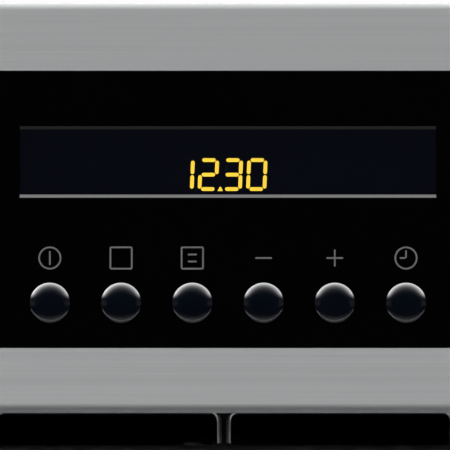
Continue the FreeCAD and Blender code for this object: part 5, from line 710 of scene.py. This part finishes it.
def hollow(piece):
    """A flat sheet cut down to its printed rim and given the print's thickness."""
    pick(piece, "FACE", every)
    bpy.ops.mesh.inset(thickness=sign_stroke * MM)
    bpy.ops.mesh.delete(type="FACE")
    pick(piece, "FACE", every)
    bpy.ops.mesh.extrude_region_move(TRANSFORM_OT_translate={"value": (0, (sign_front - sign_back) * MM, 0)})
    bpy.ops.mesh.select_all(action="SELECT")
    bpy.ops.mesh.normals_make_consistent(inside=False)
    bare()
    return piece


def printed_ring(name, x, z, radius):
    """A printed ring."""
    bare()
    bpy.ops.mesh.primitive_circle_add(vertices=64, radius=radius * MM, fill_type="NGON",
                                      location=(x * MM, sign_back * MM, z * MM), rotation=(quarter, 0, 0))
    return hollow(settle(name))


def printed_square(name, x, z, half):
    """A printed square outline with rounded corners."""
    bare()
    bpy.ops.mesh.primitive_plane_add(size=2 * half * MM, location=(x * MM, sign_back * MM, z * MM),
                                     rotation=(quarter, 0, 0))
    piece = settle(name)
    pick(piece, "VERT", every)
    bpy.ops.mesh.bevel(offset=square_corner * MM, segments=5, affect="VERTICES")
    bare()
    return hollow(piece)


sign_half, thin = 3.15, sign_stroke / 2
power_half, heat_half, heat_rise, dash_half, hand_up, hand_side = 1.9, 1.2, 0.95, 2.3, 2.1, 1.7
signs = []
for name in BUTTONS:
    x, _ = button_middle(name)
    if name == "power":
        signs.append(printed_ring("sign_power_ring", x, sign_z, sign_half))
        signs.append(mark("sign_power_bar", (x - thin, sign_z - power_half), (x + thin, sign_z + power_half)))
    elif name == "function":
        signs.append(printed_square("sign_function", x, sign_z, sign_half))
    elif name == "heat":
        signs.append(printed_square("sign_heat", x, sign_z, sign_half))
        for row in (-heat_rise, heat_rise):
            signs.append(mark(f"sign_heat_bar_{row}", (x - heat_half, sign_z + row - thin),
                              (x + heat_half, sign_z + row + thin)))
    elif name in ("minus", "plus"):
        signs.append(mark(f"sign_{name}_bar", (x - dash_half, sign_z - thin), (x + dash_half, sign_z + thin)))
        if name == "plus":
            for end in (-1, 1):
                low, high = sorted((end * thin, end * dash_half))
                signs.append(mark(f"sign_plus_arm_{end}", (x - thin, sign_z + low), (x + thin, sign_z + high)))
    else:
        signs.append(printed_ring("sign_clock_ring", x, sign_z, sign_half))
        signs.append(mark("sign_clock_up", (x - thin, sign_z), (x + thin, sign_z + hand_up)))
        signs.append(mark("sign_clock_side", (x - hand_side, sign_z - thin), (x - thin, sign_z + thin)))
fit(joined("panel_signs", signs), print_grey, "oven", "glass_black")

# Buttons: six moulded push buttons with polished domed caps that pass the glass with a hair's gap. A square
# flange behind the glass keeps each one in, and its square stem reaches the switch on the board.
gloss = finish("gloss_black", (0.0004, 0.0015, 0.0042), (0.0006, 0.0019, 0.0050), 0.13, 0.17, (200, 200, 200),
               0.000002, sockets={"IOR": 2.0})
cap_radius, rim_y, flange_y, flange_end, stem_y = 5.45, -22.3, -17.5, -16.5, -5.7
flange_half, stem_half, moulded_edge = 6.3, 2.5, 0.4
dome_steps, rim_lean, dome_power = 18, math.radians(42), 2.75
dome_reach = cap_radius / dome_steps
bare()
bpy.ops.mesh.primitive_cylinder_add(vertices=64, radius=cap_radius * MM, depth=(flange_y - rim_y) * MM,
                                    location=(0, (flange_y + rim_y) / 2 * MM, 0), rotation=(quarter, 0, 0))
button_cap = settle("button_cap")
pick(button_cap, "FACE", lambda face: face.normal.y < -0.9)
for step in range(dome_steps - 1, 0, -1):
    lean = rim_lean * ((step + 0.5) / dome_steps) ** dome_power
    bpy.ops.mesh.inset(thickness=dome_reach * MM)
    bpy.ops.transform.translate(value=(0, -dome_reach * math.tan(lean) * MM, 0))
bare()
smooth(button_cap, 50)
button_flange = block("button_flange", (-flange_half, flange_y, -flange_half), (flange_half, flange_end, flange_half))
button_stem = block("button_stem", (-stem_half, flange_end, -stem_half), (stem_half, stem_y, stem_half))
for piece in (button_flange, button_stem):
    eased(piece, along(piece, "y"), moulded_edge, 2)
button_whole = joined("button_whole", [button_cap, button_flange, button_stem])
for name in BUTTONS:
    x, z = button_middle(name)
    fit(copied(button_whole, f"cap_{name}", (x, 0, z)), gloss, f"button_{name}", "button_black", f"button_{name}")
bare()
bpy.data.objects.remove(button_whole)

# Vent grille: one black moulding under the panel that lets the cooling air out through eight slots. The slots'
# upper corners are round and their sides are eased at the front, where a bright metal on the eased faces is a
# painted highlight; the blower's duct and wheel behind are coloured near black as painted shade.
grille_black = finish("grille_black", (0.0008, 0.0008, 0.0009), (0.0014, 0.0014, 0.0015), 0.12, 0.16,
                      (900, 900, 900), 0.000002, sockets={"IOR": 2.6})
# Painted shade: the duct and blower housing are coloured near black so the slots look dark inside.
duct_painted_shade = finish("duct_painted_shade", (0.0015, 0.0015, 0.0016), (0.003, 0.003, 0.0032), 0.5, 0.7, (300, 300, 300),
                    0.00002)
dress(duct_painted_shade, "air_duct", "blower_housing")
# Painted shade: the aluminium blower wheel is coloured near black so it stays dark behind the slots.
wheel_painted_shade = finish("wheel_painted_shade", (0.004, 0.004, 0.0045), (0.008, 0.008, 0.009), 0.45, 0.6, (300, 300, 300),
                    0.00002, 1.0)
dress(wheel_painted_shade, "blower_wheel")
grille_half, grille_front, grille_back, grille_low, grille_high = 268, -6, 14, 472, 485
slot_count, slot_pitch, slot_rib, slot_low, slot_high, slot_shift = 8, 64.5, 4.75, 475.5, 483.8, -1.1
upper_corner, lower_corner, slot_easing = 1.9, 0.6, 1.8
cut_past, end_strip, edge_depth = 4, 8, 2
grille = block("vent_moulding", (-grille_half, grille_front, grille_low), (grille_half, grille_back, grille_high))


def corner_edge(cutter, z):
    """A test for the edges of a slot's cutter that run front to back at a height."""
    runs_back = along(cutter, "y")
    return lambda edge: runs_back(edge) and abs(cutter.data.vertices[edge.vertices[0]].co.z - z * MM) < 1e-6


cutters = []
for index in range(slot_count):
    left = (index - slot_count // 2) * slot_pitch + slot_rib / 2 + slot_shift
    cutter = block(f"slot_{index}", (left, grille_front - cut_past, slot_low),
                   (left + slot_pitch - slot_rib, grille_back + cut_past, slot_high))
    for z, corner in ((slot_high, upper_corner), (slot_low, lower_corner)):
        eased(cutter, corner_edge(cutter, z), corner, 5)
    cutters.append(cutter)
slot_cutter = joined("slot_cutter", cutters)
change(grille, "BOOLEAN", object=slot_cutter, operation="DIFFERENCE")
bare()
bpy.data.objects.remove(slot_cutter)


def rounded_edge(edge):
    """The front edges of the slots' sides and upper corners."""
    places = [grille.data.vertices[index].co for index in edge.vertices]
    at_front = all(abs(place.y - grille_front * MM) < 1e-5 for place in places)
    lowest, highest = (slot_low + lower_corner) * MM - 1e-5, slot_high * MM + 1e-5
    in_slot = all(lowest < place.z < highest for place in places)
    level_edge = abs(places[0].z - places[1].z) < 1e-6
    off_ends = all(abs(place.x) < (grille_half - end_strip) * MM for place in places)
    return at_front and in_slot and not level_edge and off_ends


eased(grille, rounded_edge, slot_easing, 6)
smooth(grille, 40)
fit(grille, grille_black, "oven", "plastic_black", "vent_grille")
# Painted highlight: the eased front faces of the slots get a bright polished metal on the black moulding, so they
# show highlight lines.
grille_edge_painted_highlight = finish("grille_edge_painted_highlight", (0.66, 0.66, 0.67), (0.74, 0.74, 0.75), 0.18, 0.24, (900, 900, 900),
                     0.000002, 1.0)
grille.data.materials.append(grille_edge_painted_highlight)
for face in grille.data.polygons:
    near_front = face.center.y < (grille_front + edge_depth) * MM
    face.material_index = int(near_front and face.normal.y < -0.1 and abs(face.normal.x) > 0.1)

# Door: an outer pane with a printed black border between folded steel rails, two clear inner panes held by
# aluminium side profiles, and a moulded cap. It drops on two hinges at its lower edge.
door_tint = finish("tinted_glass", (0.16, 0.16, 0.17), (0.20, 0.20, 0.21), 0.0, 0.03, (25, 25, 25), 0.000002,
                   sockets={"Transmission Weight": 1.0, "IOR": 1.5})
pane_middle, border_side, border_end, border_blend = 0.2545, 0.226, 0.1435, 0.0008
border_colour = (0.0008, 0.0008, 0.0009, 1)
tint_tree = door_tint.node_tree
pane_place = add(tint_tree, "SeparateXYZ")
tint_tree.links.new(add(tint_tree, "TexCoord").outputs["Object"], pane_place.inputs["Vector"])
off_middle = calc(tint_tree, "ABSOLUTE", pane_place.outputs["X"])
at_sides = add(tint_tree, "MapRange", {"From Min": border_side, "From Max": border_side + border_blend})
tint_tree.links.new(off_middle, at_sides.inputs["Value"])
up_down = calc(tint_tree, "ABSOLUTE", calc(tint_tree, "SUBTRACT", pane_place.outputs["Z"], pane_middle))
at_ends = add(tint_tree, "MapRange", {"From Min": border_end, "From Max": border_end + border_blend})
tint_tree.links.new(up_down, at_ends.inputs["Value"])
printed = add(tint_tree, "Mix", data_type="RGBA")
printed.inputs["B"].default_value = border_colour
border = calc(tint_tree, "MAXIMUM", at_sides.outputs["Result"], at_ends.outputs["Result"])
tint_tree.links.new(border, printed.inputs["Factor"])
tint_tree.links.new(tint_tree.nodes["grain"].outputs["Colour"], printed.inputs["A"])
tint_tree.links.new(printed.outputs["Result"], tint_tree.nodes["Principled BSDF"].inputs["Base Color"])
dress(door_tint, "door_glass")

# Handle: a round bar of fine-brushed steel with eased ends, on two square posts that are screwed through the
# door's top rail. It stands off far enough for the fingers.
handle_steel = finish("handle_steel", (0.50, 0.51, 0.515), (0.58, 0.59, 0.595), 0.42, 0.5, (14, 2600, 2600),
                      0.0000004, 1.0)
dress(handle_steel, "handle_posts")
handle_radius, handle_length, handle_y, handle_z, handle_easing = 8, 488, -58, 439, 1.2
bare()
bpy.ops.mesh.primitive_cylinder_add(vertices=48, radius=handle_radius * MM, depth=handle_length * MM,
                                    location=(0, handle_y * MM, handle_z * MM), rotation=(0, quarter, 0))
handle = settle("handle_tube")


def at_handle_end(edge):
    """The edges around the bar's two ends."""
    return all(abs(handle.data.vertices[index].co.x) > (handle_length / 2 - 0.1) * MM for index in edge.vertices)


eased(handle, at_handle_end, handle_easing, 4)
smooth(handle, 40)
fit(handle, handle_steel, "door", "steel_handle", "handle_bar")
